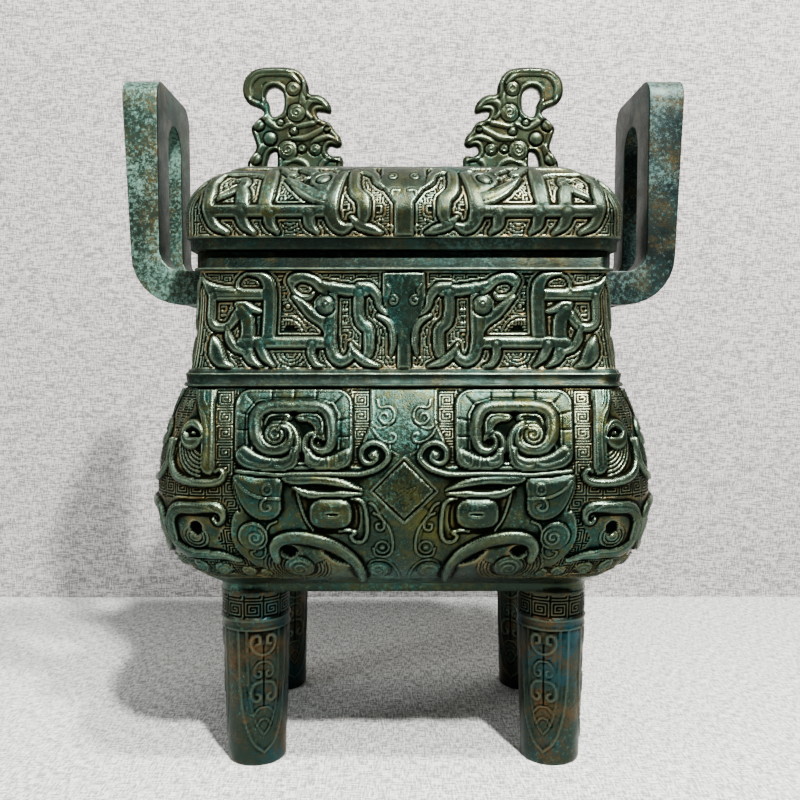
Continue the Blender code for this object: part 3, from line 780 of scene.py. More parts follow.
def lid_rows():
    """The lid's plain rim, its side, and its dome up to the flat top."""
    rim = [(LID_HALF - 1.4, LID_Z, 8), (LID_HALF - 1.0, LID_Z + 0.4, 8), (LID_HALF - 1.0, LID_Z + 3.7, 8),
           (LID_HALF - 0.6, LID_Z + 4.0, 8), (LID_HALF + 0.1, LID_Z + 4.4, 8)]
    dome = bezier((LID_HALF, DOME_Z), (LID_HALF, DOME_Z + 0.4 * LID_DOME),
                  (LID_HALF - 0.5 * LID_DOME_INSET, DOME_Z + 0.8 * LID_DOME),
                  (LID_HALF - LID_DOME_INSET, TOP_Z))
    dome = np.vstack([[LID_HALF, LID_Z + LID_RIM + 0.1], dome])
    return np.array(rim), np.column_stack([dome, np.full(len(dome), 8.0)])


def walk(rows, steps):
    """The rows at given distances along a profile."""
    gaps = np.hypot(np.diff(rows[:, 0]), np.diff(rows[:, 1]))
    length = np.concatenate([[0.0], np.cumsum(gaps)])
    return np.column_stack([np.interp(steps, length, rows[:, i]) for i in range(3)]), length[-1]


def tangents(rows):
    """The direction of a profile at each of its rows."""
    steps = np.gradient(rows[:, :2], axis=0)
    return steps / np.linalg.norm(steps, axis=1)[:, None]


def inset(rows, depth):
    """The same profile, moved inwards by the wall's thickness."""
    tangent = tangents(rows)
    return np.column_stack([rows[:, 0] - depth * tangent[:, 1], rows[:, 1] + depth * tangent[:, 0],
                            np.maximum(rows[:, 2] - depth, 0.4 * rows[:, 2])])


print("the belly's profile is", round(walk(belly_rows(), 0.0)[1], 1), "mm long")


# %% From a profile to one side of the body
SIDES = ("front", "right", "back", "left")


def side_points(rows, side, shares, flat, out):
    """Points of one side, from corner to corner: shares across run from -1 to 1.

    A side is its number in SIDES, and the odd ones are the short sides. Beyond the flat share
    the wall turns by 45 degrees, so that neighbours meet at the corner.
    """
    tangent = tangents(rows)
    half, z, corner = (rows[:, i][:, None] for i in range(3))
    reach_out = half if side % 2 else half - SIDE_STEP
    reach_across = (half - SIDE_STEP if side % 2 else half) - corner
    turned = np.maximum(0.0, abs(shares) - flat) / (1 - flat) * math.radians(45)
    sine, cosine = np.sign(shares) * np.sin(turned), np.cos(turned)
    x = np.sign(shares) * np.minimum(1.0, abs(shares) / flat) * reach_across + corner * sine
    y = reach_out - corner + corner * cosine
    x = x + out * sine * tangent[:, 1:]
    y = y + out * cosine * tangent[:, 1:]
    z = z - out * tangent[:, :1] + 0 * x
    quarter = math.radians(90) * (side - 1)
    return np.dstack([-x * math.sin(quarter) + y * math.cos(quarter),
                      x * math.cos(quarter) + y * math.sin(quarter), z])


# %% [markdown]
# ## From a board of clay to a closed casting
#
# A zone's side is built as a slab: the carved sheet outside, a plain coarse sheet inside, and a
# flat rim between them. It could be made with a displaced plane and a solidify modifier, but then
# the rims would not lie in the corner's own plane, and neighbours would leave a crack. Each point
# also carries three numbers for its finish: whether it lies in the coiled ground; how sharply it
# stands out, which is where hands and cloths have rubbed the real bronze and where a pale
# highlight is painted; and how deep it lies, where dirt has stayed and shade is painted.

# %% Ridges worn and painted with highlight, hollows dirty and painted with shade
def soften(grid, reach):
    """A box blur that repeats its edges."""
    for axis in (0, 1):
        pad = [(reach, reach) if a == axis else (0, 0) for a in (0, 1)]
        total = np.cumsum(np.insert(np.pad(grid, pad, mode="edge"), 0, 0.0, axis=axis), axis=axis)
        size = grid.shape[axis]
        low = np.take(total, range(size), axis=axis)
        high = np.take(total, range(2 * reach + 1, size + 2 * reach + 1), axis=axis)
        grid = (high - low) / (2 * reach + 1)
    return grid


def finish_numbers(heights, spare=0):
    """Coiled ground, sharp convex ridges and hollows of a sheet, each from 0 to 1."""
    near = heights - soften(soften(heights, 1), 1)
    wide = heights - soften(soften(heights, 4), 4)
    busy = soften(soften(abs(near), 3), 3)
    level = smooth((heights + 0.8) / 0.2) * (1 - smooth((heights - 0.05) / 0.4))
    grids = {"coiled": np.clip(14 * busy - 1.0, 0, 1) * level,
             "ridge": np.clip(3.2 * near + 0.15 * wide, 0, 1),
             "hollow": np.clip(-1.6 * near - 0.9 * wide + 0.7 * smooth((-0.35 - heights) / 0.3), 0, 1)}
    return {label: np.concatenate([grid.ravel(), np.zeros(spare)]) for label, grid in grids.items()}


# %% A mesh with its finish
def finish_mesh(name, points, faces, flat_faces, finish, numbers):
    """A mesh object in metres; flat faces keep their own plane in the shading."""
    mesh = bpy.data.meshes.new(name)
    mesh.from_pydata((np.array(points) * MM).tolist(), [], [*faces, *flat_faces])
    mesh.validate()
    smooth_flags = [True] * len(faces) + [False] * len(flat_faces)
    mesh.polygons.foreach_set("use_smooth", smooth_flags[:len(mesh.polygons)])
    for label in ("coiled", "ridge", "hollow"):
        layer = mesh.attributes.new(label, "FLOAT", "POINT")
        if numbers:
            layer.data.foreach_set("value", np.array(numbers[label], np.float32))
    mesh.materials.append(FINISHES[finish])
    made = bpy.data.objects.new(name, mesh)
    bpy.context.collection.objects.link(made)
    return made


def grid_faces(rows, columns, start, turned=False):
    """Four-sided faces over a grid of points that begins at a number."""
    first = (start + np.arange(rows - 1)[:, None] * columns + np.arange(columns - 1)[None, :]).ravel()
    corners = [first, first + 1, first + columns + 1, first + columns]
    return np.column_stack(corners[::-1] if turned else corners).tolist()


# %% One closed slab
# pale lines along the beads and edges of a profile: wear and a painted highlight
def edge_wear_and_highlight(rows):
    """How sharply a profile turns outwards at each of its rows, from 0 to 1."""
    steps = np.diff(rows[:, :2], axis=0)
    turns = np.diff(np.unwrap(np.arctan2(steps[:, 1], steps[:, 0])))
    return np.pad(np.clip((np.degrees(turns) - 30) / 65, 0, 1), 1)


def slab(name, outer, inner, heights, finish, edges):
    """A closed slab between a carved outer sheet and a plain inner one; edges add wear and a painted
    highlight to each row.
    """
    (r0, c0), (r1, c1) = outer.shape[:2], inner.shape[:2]
    base = r0 * c0
    points = np.vstack([outer.reshape(-1, 3), inner.reshape(-1, 3)])
    faces = grid_faces(r0, c0, 0) + grid_faces(r1, c1, base, turned=True)
    out, back = np.arange(base).reshape(r0, c0), base + np.arange(r1 * c1).reshape(r1, c1)
    rims = [[*out[0, ::-1], *back[0]], [*out[-1], *back[-1, ::-1]],
            [*out[:, 0], *back[::-1, 0]], [*out[::-1, -1], *back[:, -1]]]
    numbers = finish_numbers(heights, r1 * c1)
    numbers["ridge"][:base] += np.repeat(edges * np.ones(r0), c0)
    return finish_mesh(name, points, faces, [[int(i) for i in rim] for rim in rims], finish, numbers)


# %% Putting a piece in place of its packed solid
def give(piece, node):
    """Hide the packed solid that a piece stands for, and let it ride with the body."""
    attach(piece, "root")
    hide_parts(node)
    return piece


def triangles(piece):
    """How many triangles a piece will export as."""
    return sum(len(face.vertices) - 2 for face in piece.data.polygons)

# %% [markdown]
# ## The belly and its masks
#
# Every side of the belly carries one large mask: two ox horns rolled like snails, leaf ears, boxy
# eyes with a slit, a nose with a lozenge above it, and an arched jaw. A small dragon and a hooked
# scroll fill each corner. The figures stand out from a ground of square thunder spirals. Places
# are in millimetres from the middle of the side and from the foot of the belly.

# %% The rolled horn
def horn(c):
    """An ox horn, rolled up in its frame, with two leaves under it."""
    c.patch(rounded(18.4, 58.6, 60.8, 88.4, 6), 1.0)
    c.thread(rounded(19.1, 59.3, 60.1, 87.7, 5.5), 0.3)
    for a, b in (((60, 66.5), (55.5, 67)), ((60, 73), (55.5, 73)), ((60, 79.5), (55.5, 78.5)),
                 ((56.6, 86), (53.4, 82.4)), ((47.5, 88), (47.5, 84)), ((39.5, 88), (39.5, 84)),
                 ((31.5, 88), (31.5, 84)), ((22.4, 85.6), (26, 81.5)), ((19, 77), (24, 76.4)),
                 ((19, 70.5), (24, 70.5)), ((19, 64.5), (24.5, 65.5))):
        c.cut([a, b], 0.35)
    c.thread([(56, 65), (56.6, 70), (56.3, 79), (53, 83.6), (47, 84.4), (31, 84.3), (25.5, 82.6),
              (23.4, 78.5), (23.3, 70), (23.8, 65)], 0.3, 0.45)
    c.patch(rounded(26.5, 61.5, 54.2, 82.5, 6), -0.9)
    # rolled horn
    c.patch(arc(46.2, 71, 5.6, 0, 345), 0.9, 0.8)
    c.roll([(45.5, 72.5), (43.5, 74.2), (41, 72.5), (40.6, 69.5), (42.5, 66.6), (46.5, 65.6),
            (50.3, 66.6), (52.8, 70), (53.6, 75), (52.6, 79), (49, 81.4), (40, 81.9), (31, 81.5),
            (27.2, 79), (25.9, 74), (25.9, 69), (27.5, 66), (30.3, 65.3), (32.7, 67), (32.6, 69.8),
            (30.6, 70.4)], [1.4, 2.6, 4.4, 4.8, 4.8, 4.8, 4.6, 3.8, 2.2, 1.2], 1.25, 0.95)
    c.thread(spiral(46.2, 71, 5.2, 60, -2.6), 0.4)
    c.thread(arc(46.2, 71, 5.6, 60, 200), 0.3)
    c.thread(spiral(30.4, 68.4, 3.0, -60, 1.2), 0.45)
    # straps that run down from the coils, either side of a narrow gap
    c.roll([(43, 76), (40.2, 73.8), (38.6, 70.4), (38.4, 65)], [1.4, 2.2, 2.6, 2.2], 1.2, 0.5)
    c.roll([(30.6, 71.4), (33.6, 71.6), (35.4, 69.2), (35.6, 65)], [1.4, 2.0, 2.2, 2.0], 1.1, 0.4)
    # inner walls of the horn, each ending in a small curl
    c.leaf([(51, 71), (50.8, 76.4), (48.8, 79.2), (44, 79.8), (41, 79.2), (40.4, 77.4), (42, 76.2),
            (45.4, 76.4), (48.4, 75.4)], 0.35, 0.25, 2.0)
    c.line([(50.2, 75), (48.6, 78), (44.4, 78.8), (41.6, 78.2), (41.4, 77), (42.8, 77)], 0.35, 0.45)
    c.leaf([(28.4, 69), (28.2, 75.4), (30.2, 79.2), (35, 79.8), (38.4, 79.2), (39, 77.4), (37.4, 76.2),
            (34.6, 76), (32.6, 74.4), (31.8, 71.4)], 0.35, 0.25, 2.0)
    c.line([(29.6, 72), (29.6, 76), (31.4, 78.4), (35.2, 78.8), (37.8, 78.2), (38, 77), (36.6, 77)],
           0.35, 0.45)
    # leaves
    c.leaf([(60, 65), (59.6, 61.6), (55, 59), (46, 58), (40.5, 58.9), (37.9, 62), (38.1, 66.6),
            (40.4, 66.4), (41.6, 63.9), (45, 62.8), (50, 63.4), (54.4, 65.4), (57.4, 67.2)],
           1.75, 0.3, 1.6)
    c.leaf([(35.8, 65), (35.4, 61), (32, 59), (26, 58.6), (20.5, 59.8), (18.6, 63), (19.6, 66),
            (22.4, 65.2), (27, 63.2), (31.6, 63.6), (34, 66.4)], 1.75, 0.3, 1.6)
    for path in ([(59, 64.2), (56.6, 61.8), (51, 60), (47.6, 60.6), (46.8, 62.6)],
                 [(46, 62.6), (46.2, 60), (43.4, 59.6), (40.2, 61.4), (39.2, 65)],
                 [(34.6, 64), (34, 61.4), (31, 60.4), (29.4, 62.6)], [(27.4, 63), (26.8, 59.6)],
                 [(24.4, 63.6), (24, 60.2), (20.8, 61.8), (20.2, 64.6)]):
        c.line(path, 0.28, 0.4)


try_out(horn)


# %% Forehead and brow
def forehead(c):
    """The plate between the horns, its coils, and the brow that rolls up over the eye."""
    c.patch([(-2, 56), (-2, 90), (12.2, 90), (12.2, 75), (15, 68.5), (15.2, 57)], 0.5)
    c.line([(11.4, 88), (11.4, 76), (14.4, 68.4)], 0.25, 0.4)
    c.line([(9.6, 84.2), (9.2, 82), (8.2, 81.2), (5.2, 81.6), (3.4, 79), (4.2, 76), (7, 75.2),
            (8.8, 77), (8, 79), (6.4, 78.8), (6, 77.6)], 0.35, per=5)
    c.line([(4, 76), (7, 73.8), (9.6, 73.6), (11.6, 75.6)], 0.32, 0.45)
    c.line([(12, 75.6), (10.4, 71.6), (7.4, 69), (4, 68.6), (3, 70.6), (4.4, 71.8), (5.4, 70.8)],
           0.32, 0.45, per=5)
    c.line([(5.4, 68.2), (4.6, 65.4), (2, 63.6)], 0.25, 0.4)
    # brow roll and its coil
    c.roll([(60, 58.2), (50, 57.2), (44, 56.9), (30, 57.3), (18, 57), (13, 57.8), (8.6, 59.6),
            (5.6, 63.2), (7.6, 67), (11.6, 68.2), (15, 66), (15, 62.4), (12.6, 60.8), (9.8, 62.4),
            (10.4, 64.8)], [1.4, 1.4, 1.6, 1.8, 2.0, 2.0, 2.0, 1.9, 1.7, 1.4], 1.2, 0.5)
    c.boss(11.2, 63.6, 1.5, 1.5, 1.3, 0.5)


try_out(forehead)


# %% Eye
def eye(c):
    """A boxy eye with a slit, in a sunk socket, under a heavy lid."""
    c.leaf([(40.4, 51), (37.6, 44), (34.5, 37.6), (28, 35.8), (19, 36), (16, 40), (16.2, 47.6),
            (18, 50.4), (30, 52)], 0.15, soft=1.2)
    c.leaf([(44, 56), (38, 56.6), (30, 56.4), (22, 55.2), (14.6, 51.4), (20, 52.2), (30, 53.6),
            (38, 53.4), (42, 54.2)], 1.5, 0.35, 1.4)
    c.line([(43, 55.4), (42.4, 54.6), (38, 54), (30, 54.2), (20, 52.8), (15.4, 51.8)], 0.4, 0.45)
    c.roll([(39.6, 52.6), (36, 50.6), (30, 49.6), (22, 50), (15.5, 50.4)], [0.8, 2.4, 2.8, 2.4, 1.0],
           1.05, 0.25)
    c.boss(26.4, 43.2, 8.2, 5.9, 0.2, 0.0, 3.2)
    c.boss(26.4, 43.2, 7.6, 5.3, 1.1, 1.7, 3.0)
    c.boss(25.8, 43.4, 2.9, 0.95, 2.9, 0.0, 2.2)
    c.boss(25.8, 43.4, 2.2, 0.45, 1.9, 0.0)
    c.line([(38.4, 50.6), (37.2, 46), (35.4, 41), (33.2, 37.6), (32.6, 36.4)], 0.45, 0.6)
    c.roll([(18.8, 48.6), (16, 48), (14.2, 46), (13.4, 41), (13.6, 35.4), (15.4, 32.8), (18, 33),
            (19.2, 35), (17.6, 36.4), (20.6, 37.2), (23.4, 36.8)], [0.9, 1.2, 1.2, 1.2, 1.2, 1.0, 0.8],
           1.1, 0.3, per=5)
    c.cut(curve([(18, 48), (16.4, 44), (16.6, 38.4), (19, 36.8)]), 0.4, 0.6)


try_out(eye)


# %% Nose and lozenge
def nose(c):
    """The bridge of the nose, a nostril, and the lozenge above it."""
    c.patch([(-2, 12), (-2, 41.5), (0, 41.5), (6.5, 46), (10, 43), (6, 36), (5.2, 28), (12, 23),
             (13.5, 14), (10, 12)], 0.75, soft=0.9)
    c.line([(12.4, 47), (10.6, 46), (8.6, 42.6), (5.4, 38), (4.2, 33), (4.6, 28.6), (7, 26.4),
            (10.4, 26.8), (11.2, 30)], 0.42, per=5)
    c.thread(arc(8, 30.4, 2.4, 0, 345), 0.32, 0.45)
    c.boss(8, 30.4, 0.7, 0.7, 1.0, 0.2)
    c.line([(11, 43.4), (9, 42.4), (7.2, 40), (7.6, 37.6), (9.6, 37.4), (10, 39.4), (8.9, 39.6)],
           0.42, per=5)
    c.boss(9.6, 19.4, 4.4, 4.4, 1.0, 0.9)
    c.thread(arc(9.6, 19.4, 3.1, 0, 345), 0.3, 0.45)
    c.cut(spiral(9.6, 19.4, 2.0, 90, 1.0), 0.35, 0.45)
    c.line([(2, 12.6), (2.2, 17), (4.6, 22.6), (8, 24.8), (12, 24), (14.4, 20.4)], 0.32, 0.45)
    # rough lozenge, cut in by a groove with a thin raised edge
    lozenge = [(0, 40.8), (11.2, 51.2), (0, 62), (-11.2, 51.2)]
    c.patch([(0, 39.6), (12.2, 51.2), (0, 63.2), (-12.2, 51.2)], 0.5, soft=0.4)
    c.thread([(0, 39.8), (12, 51.2), (0, 63)], 0.34)
    w, gap = c.near_outline(lozenge)
    c.h[w] += 0.24 * np.random.default_rng(5).random(gap.shape) * (gap < -0.4)
    c.cut([*lozenge, lozenge[0]], 0.5, 0.7)


try_out(nose)


# %% Leaf ear and cheek
def ear_leaf(c):
    """An ear like a leaf, with one coil."""
    c.leaf([(60.8, 57), (52, 55.8), (44.4, 55.4), (44, 50), (44.2, 45), (46, 42.2), (50, 41),
            (54.4, 42.4), (58, 46.4), (60.4, 52)], 1.15, 0.55, 2.5)
    c.line([(60.2, 54.8), (57, 51.6), (53.4, 49.6), (50.4, 48.8), (47.4, 48.8), (44.4, 48.6)], 0.4)
    c.thread(arc(49, 51.8, 1.7, 0, 345), 0.3, 0.45)
    c.boss(49, 51.8, 0.6, 0.6, 1.7, 0.1)
    c.line([(49.6, 48.6), (51, 47.4), (51, 45.2), (49, 44.4), (47.6, 45.8), (48.8, 46.4)], 0.4, per=5)


def cheek(c):
    """A round cheek beside the jaw."""
    c.leaf([(60, 44), (52, 41), (46, 41), (42.6, 38), (48, 33), (50, 27), (51, 21), (56, 20.5),
            (58.5, 24), (62, 30), (62.5, 38)], 0.45)
    c.boss(54.8, 34.8, 5.4, 5.4, 0.8, 0.6)
    c.thread(arc(54.8, 34.8, 5.0, -30, 250), 0.35)
    c.thread(spiral(54, 34.6, 3.3, 120, 1.5), 0.4)
    c.line([(49.8, 37), (48.6, 39.2), (46, 40.4)], 0.35)
    c.line([(50.8, 31), (51.4, 27.4), (53.4, 25.4), (56, 26), (56.6, 28.2), (55, 28.8)], 0.4, per=5)


try_out(ear_leaf, cheek)


# %% Jaw
def jaw(c):
    """The arched jaw, with a round boss and its ripples inside the arch."""
    c.leaf([(49.6, 24), (49.8, 31), (46.6, 35.8), (40, 37.4), (32, 36.4), (24, 33.4), (18, 28.4),
            (14.6, 21), (14.2, 12), (30, 11), (44, 11), (50, 16)], 0.3)
    c.leaf([(46, 28), (43, 31.2), (36, 31.4), (28, 28.6), (22.4, 23.4), (19.6, 16), (19.6, 12),
            (36, 12), (46, 14), (48, 20)], 0.15)
    for k in range(6):
        c.thread(arc(40, 20.4, 6.4 + 1.25 * k, 62 - 5 * k, -78), 0.42)
    for k in range(4):
        c.thread(arc(40, 20.4, 7.6 + 1.25 * k, 262, 170 - 3 * k), 0.38)
    c.boss(40, 20.4, 5.6, 5.6, 0.7, 0.9)
    c.thread(spiral(40, 20.4, 4.4, 150, -1.8), 0.42)
    c.leaf([(45.6, 29), (44, 30.8), (41, 30.4), (39.4, 28.4), (40.6, 26.4), (43.6, 26)], -1.2)
    c.strip(arc(42.6, 28.2, 3.0, 200, 350, 0.9), 0.8, 0.9, 0.3)
    c.leaf([(30.4, 28.6), (27, 27.6), (23, 24.4), (20.6, 21.4), (23, 21.8), (27, 24)], -1.1)
    c.roll([(47.6, 24.6), (48, 29), (46.4, 32.6), (42.4, 34.3), (36, 34.3), (28.6, 32.2), (22, 28),
            (18, 23), (16.6, 16), (16.6, 11.4)], [3.0, 4.2, 4.8, 5.0, 5.0, 5.0, 4.6, 4.2, 3.6],
           1.05, 1.0)
    c.cut(curve([(49.2, 26), (49.6, 31), (46.6, 35.2), (41, 36.8), (34, 36.2), (26, 33.8), (19, 28.6),
                 (15, 21), (14.4, 13)]), 0.35)


try_out(jaw)


# %% Dragon at the corner
def corner_dragon(c):
    """A small dragon that stands on its snout beside the corner."""
    c.leaf([(68.2, 88), (68.2, 58), (66, 56.6), (66.6, 52.2), (76, 51.8), (84, 54), (88, 60),
            (88.6, 68), (84, 76), (80.6, 80), (78, 88)], 0.1, per=3)
    # body that runs up beside the coils
    c.leaf([(68.3, 89.5), (68.3, 80), (68.4, 58.6), (73, 59.2), (73.2, 68), (74, 76), (76.6, 81),
            (79.4, 86), (80, 89.5)], 0.95, 0.15, 2.0)
    c.line([(69.2, 88.6), (69.2, 70), (69.4, 59.6)], 0.25, 0.4)
    c.line([(77.6, 88), (75.6, 82), (72.4, 78), (71.2, 72), (71.2, 60)], 0.28, 0.4)
    c.line([(73.6, 88.2), (73, 84.4), (71.4, 82)], 0.25, 0.4)
    # feathered breast
    for k in range(6):
        c.thread(arc(73, 68.6, 4.0 + 1.3 * k, -8 + 2 * k, -88, 1.15), 0.5)
    # snout roll along the bottom
    c.roll([(86.6, 69), (87.2, 64), (86, 59.4), (82.4, 55.8), (76, 54.2), (69.6, 54), (66, 55),
            (64.8, 57.2), (66.2, 58.8), (67.6, 57.8)], [1.6, 2.4, 2.8, 2.8, 2.8, 2.4, 1.6, 0.9],
           1.0, 0.5)
    c.line([(85.4, 66), (85, 60), (81.6, 57), (75.6, 55.6)], 0.25, 0.4)
    # eye
    c.boss(78, 71.4, 5.6, 5.6, 1.15, 0.5)
    c.thread(arc(78, 71.4, 4.7, 0, 345), 0.3, 0.45)
    c.leaf([(81, 72.4), (78.4, 74), (75, 72.8), (73.4, 70.6), (76, 70.2), (79.4, 70.4)], -0.9)
    c.boss(77.6, 71.8, 0.9, 0.8, 0.6, 0.3)


try_out(corner_dragon)


# %% Scrolls under the dragon
def hook_scroll(c):
    """A broad hooked scroll under the dragon."""
    c.leaf([(64.5, 47.4), (88.5, 47.4), (88.5, 26), (74, 24.6), (61, 24.8), (66, 29.6), (67.6, 34),
            (64.6, 39)], 0.1, per=3)
    c.patch(rounded(69, 31, 84, 42.5, 4), 0.2)
    for k in range(3):
        c.thread(rounded(71.6 + 1.2 * k, 30.6 + 1.2 * k, 80.4 - 1.2 * k, 38.4 - 1.2 * k, 3.6 - 0.9 * k),
                 0.42)
    c.roll([(68.6, 41.4), (67, 39.6), (65.4, 41), (65.6, 44), (68.6, 45.6), (76, 45.4), (82, 44.8),
            (85.2, 41.6), (86, 36), (85, 31), (80.6, 28), (74, 27.6), (67.6, 27), (63.6, 25.4),
            (61, 24.4)], [0.9, 1.6, 3.0, 4.0, 4.2, 4.2, 4.0, 3.6, 2.6, 1.0], 1.1, 0.55)
    c.line([(67.4, 43.6), (72, 46.4), (82, 45.8), (86.4, 41.4), (87.2, 35), (86, 29.8), (81, 26.8),
            (74, 26.3), (67, 25.8)], 0.28, 0.4)
    c.line([(70, 43.4), (77, 43.4), (82.4, 42), (83.8, 37), (83.2, 32.4), (79.6, 29.6), (72, 29)],
           0.28, 0.4)
    c.thread(spiral(67.6, 41.6, 2.6, 100, 1.1), 0.4)
    c.boss(75.4, 37.6, 2.3, 2.6, -1.2, 0.0)


def foot_scrolls(c):
    """A row of small coils along the foot of the belly."""
    for cx, cy, r, turn in ((79, 20.6, 3.6, 1), (69.5, 19.4, 3.4, -1), (60, 17.6, 2.8, 1),
                            (53.4, 16.6, 2.6, -1)):
        c.boss(cx, cy, r, r, 0.35, 0.4)
        c.thread(spiral(cx, cy, r - 0.4, 90, turn * 1.6), 0.42)
    c.line([(88, 23), (80, 24), (70, 23.6), (62, 21.6), (56, 19.6)], 0.4)
    c.line([(88, 16), (78, 15.4), (66, 14.4), (54, 13)], 0.4)


try_out(hook_scroll, foot_scrolls)

# %% The board of a belly side
STEP = 0.5               # millimetres between points where the metal is carved
PLAIN_STEP = 2.0         # and where it is plain
BELLY_PLAIN = 11         # how far up the belly's foot is plain
BELLY_BOARD, BELLY_MIDDLE = 88.0, 70.4       # half the board's breadth, and the metal's at mid height
BELLY_FLAT, NECK_FLAT, LID_FLAT = 0.8, 0.94, 0.92        # the share of each side before its corner


def spread(long_side, half, flat, middle_half):
    """Places across half a side, in the figure's millimetres, spaced evenly on the metal."""
    real = half * flat if long_side else middle_half - SIDE_STEP
    count = int(round(real / STEP))
    corner = int(round(half * (1 - flat) / STEP))
    return np.concatenate([np.linspace(0, half * flat, count + 1),
                           np.linspace(half * flat, half, corner + 1)[1:]])


def mirrored(half_board):
    """A whole side from its right half."""
    return np.hstack([half_board[:, :0:-1], half_board])


def belly_clay(across, up):
    """The whole mask on its ground of thunder spirals."""
    c = Clay(across, up)
    c.coils([(-1, 11), (90, 11), (90, 90), (-1, 90)])
    c.coils([(61.2, 57), (68.3, 57), (68.3, 90), (61.2, 90)], 13, (61.5, 56))
    c.coils([(12.4, 57), (18.6, 57), (18.6, 90), (12.4, 90)], 13, (12.5, 62.5))
    c.patch(loop([(-3, 12), (-3, 60), (16, 60), (30, 60), (58, 58), (61.5, 52), (58, 42), (62, 36),
                  (60, 26), (54, 20), (50, 12)], 3), 0.45)
    for figure in (forehead, cheek, ear_leaf, horn, eye, nose, jaw, corner_dragon, hook_scroll,
                   foot_scrolls):
        figure(c)
    c.h *= smooth((c.t - BELLY_PLAIN - 0.4) / 0.8) * smooth((88.8 - c.t) / 0.8)
    return c.h


def fade(count):
    """0 at both ends of a row of points and 1 from the sixth point on."""
    place = np.arange(count)
    return smooth(np.minimum(place, place[::-1]) / 5)


def cast_skin(heights, seed):
    """The slight waves that a clay mould leaves, fading out at the rims."""
    waves = np.random.default_rng(seed).normal(size=heights.shape)
    waves = soften(soften(waves, 4), 4)
    waves *= 0.06 / waves.std()
    return heights + waves * fade(heights.shape[0])[:, None] * fade(heights.shape[1])


# %% The four sides of the belly
def wall_inside():
    """The inside of the cauldron, from below its floor to the rim."""
    neck = neck_rows()[1]
    shell = inset(np.vstack([belly_rows()[1::6], neck[::6]]), WALL)
    shell = shell[shell[:, 1] > LEG_HEIGHT + WALL + 0.5]
    foot = [BASE_HALF - WALL, LEG_HEIGHT, 4.0]
    top = [shell[-1, 0], MOUTH_Z, shell[-1, 2]]
    return np.vstack([foot, [foot[0], LEG_HEIGHT + WALL, 4.0], shell[shell[:, 1] < MOUTH_Z - 1], top])


def cut_rows(rows, low, high):
    """The rows between two heights, with new rows at both."""
    ends = [[z if i == 1 else np.interp(z, rows[:, 1], rows[:, i]) for i in range(3)]
            for z in (low, high)]
    between = rows[(rows[:, 1] > low + 0.2) & (rows[:, 1] < high - 0.2)]
    return np.vstack([ends[0], between, ends[1]])


def carved_side(name, side, rows, inner_rows, across, flat, heights, finish, edges=0.0):
    """A slab with its board of clay outside and a sheet of few points inside."""
    shares = np.concatenate([-across[:0:-1], across]) / across[-1]
    coarse = np.concatenate([shares[:-1:8], [1.0]])
    outer = side_points(rows, side, shares, flat, heights)
    inner = side_points(inner_rows, side, coarse, flat, np.zeros((len(inner_rows), len(coarse))))
    return slab(name, outer, inner, heights, finish, edges)


def build_belly():
    """Four carved slabs that meet at the corners."""
    rows = belly_rows()
    length = walk(rows, 0.0)[1]
    up = np.concatenate([np.arange(0, BELLY_PLAIN, PLAIN_STEP),
                         np.arange(BELLY_PLAIN, length - STEP / 2, STEP), [length]])
    inner_rows = cut_rows(wall_inside(), LEG_HEIGHT, COLLAR_Z)
    for side, label in enumerate(SIDES):
        across = spread(side % 2 == 0, BELLY_BOARD, BELLY_FLAT, BELLY_MIDDLE)
        heights = cast_skin(mirrored(belly_clay(across, up)), 10 + side)
        piece = carved_side(f"belly_{label}", side, walk(rows, up)[0], inner_rows, across, BELLY_FLAT,
                            heights, "belly_bronze")
        give(piece, "vessel")
        print(piece.name, triangles(piece), "triangles, highest relief", round(heights.max(), 2), "mm")


build_belly()

# %% [markdown]
# ## The neck and its dragons
#
# Two long-bodied dragons face each other on every side of the neck, with a plain plaque between
# their noses. Their bodies are rounded bars, some of which turn square corners, over a ground
# packed with thunder spirals. The collar below and the rim above are plain. The bars are strips
# of one style, so that a change of that style reaches all of them.

# %% A bar of a dragon's body
BAR, CROWN, ROUND = 0.80, 0.30, 0.9      # level and crown of a body, and the softness of its edge
TUBE, BAND = (0.75, 0.50, 1.02), (0.80, 0.28, 1.12)      # level, crown, breadth: a round and a flat bar


def bar(c, points, widths, sharp=False):
    """One bar of a body, in its board's own style; sharp corners stay corners."""
    level, crown, broad = c.style
    c.strip(points if sharp else curve(points), [broad * w for w in widths], level, crown, ROUND)


print("a bar is", TUBE[0] + TUBE[1], "or", BAND[0] + BAND[1], "mm high")


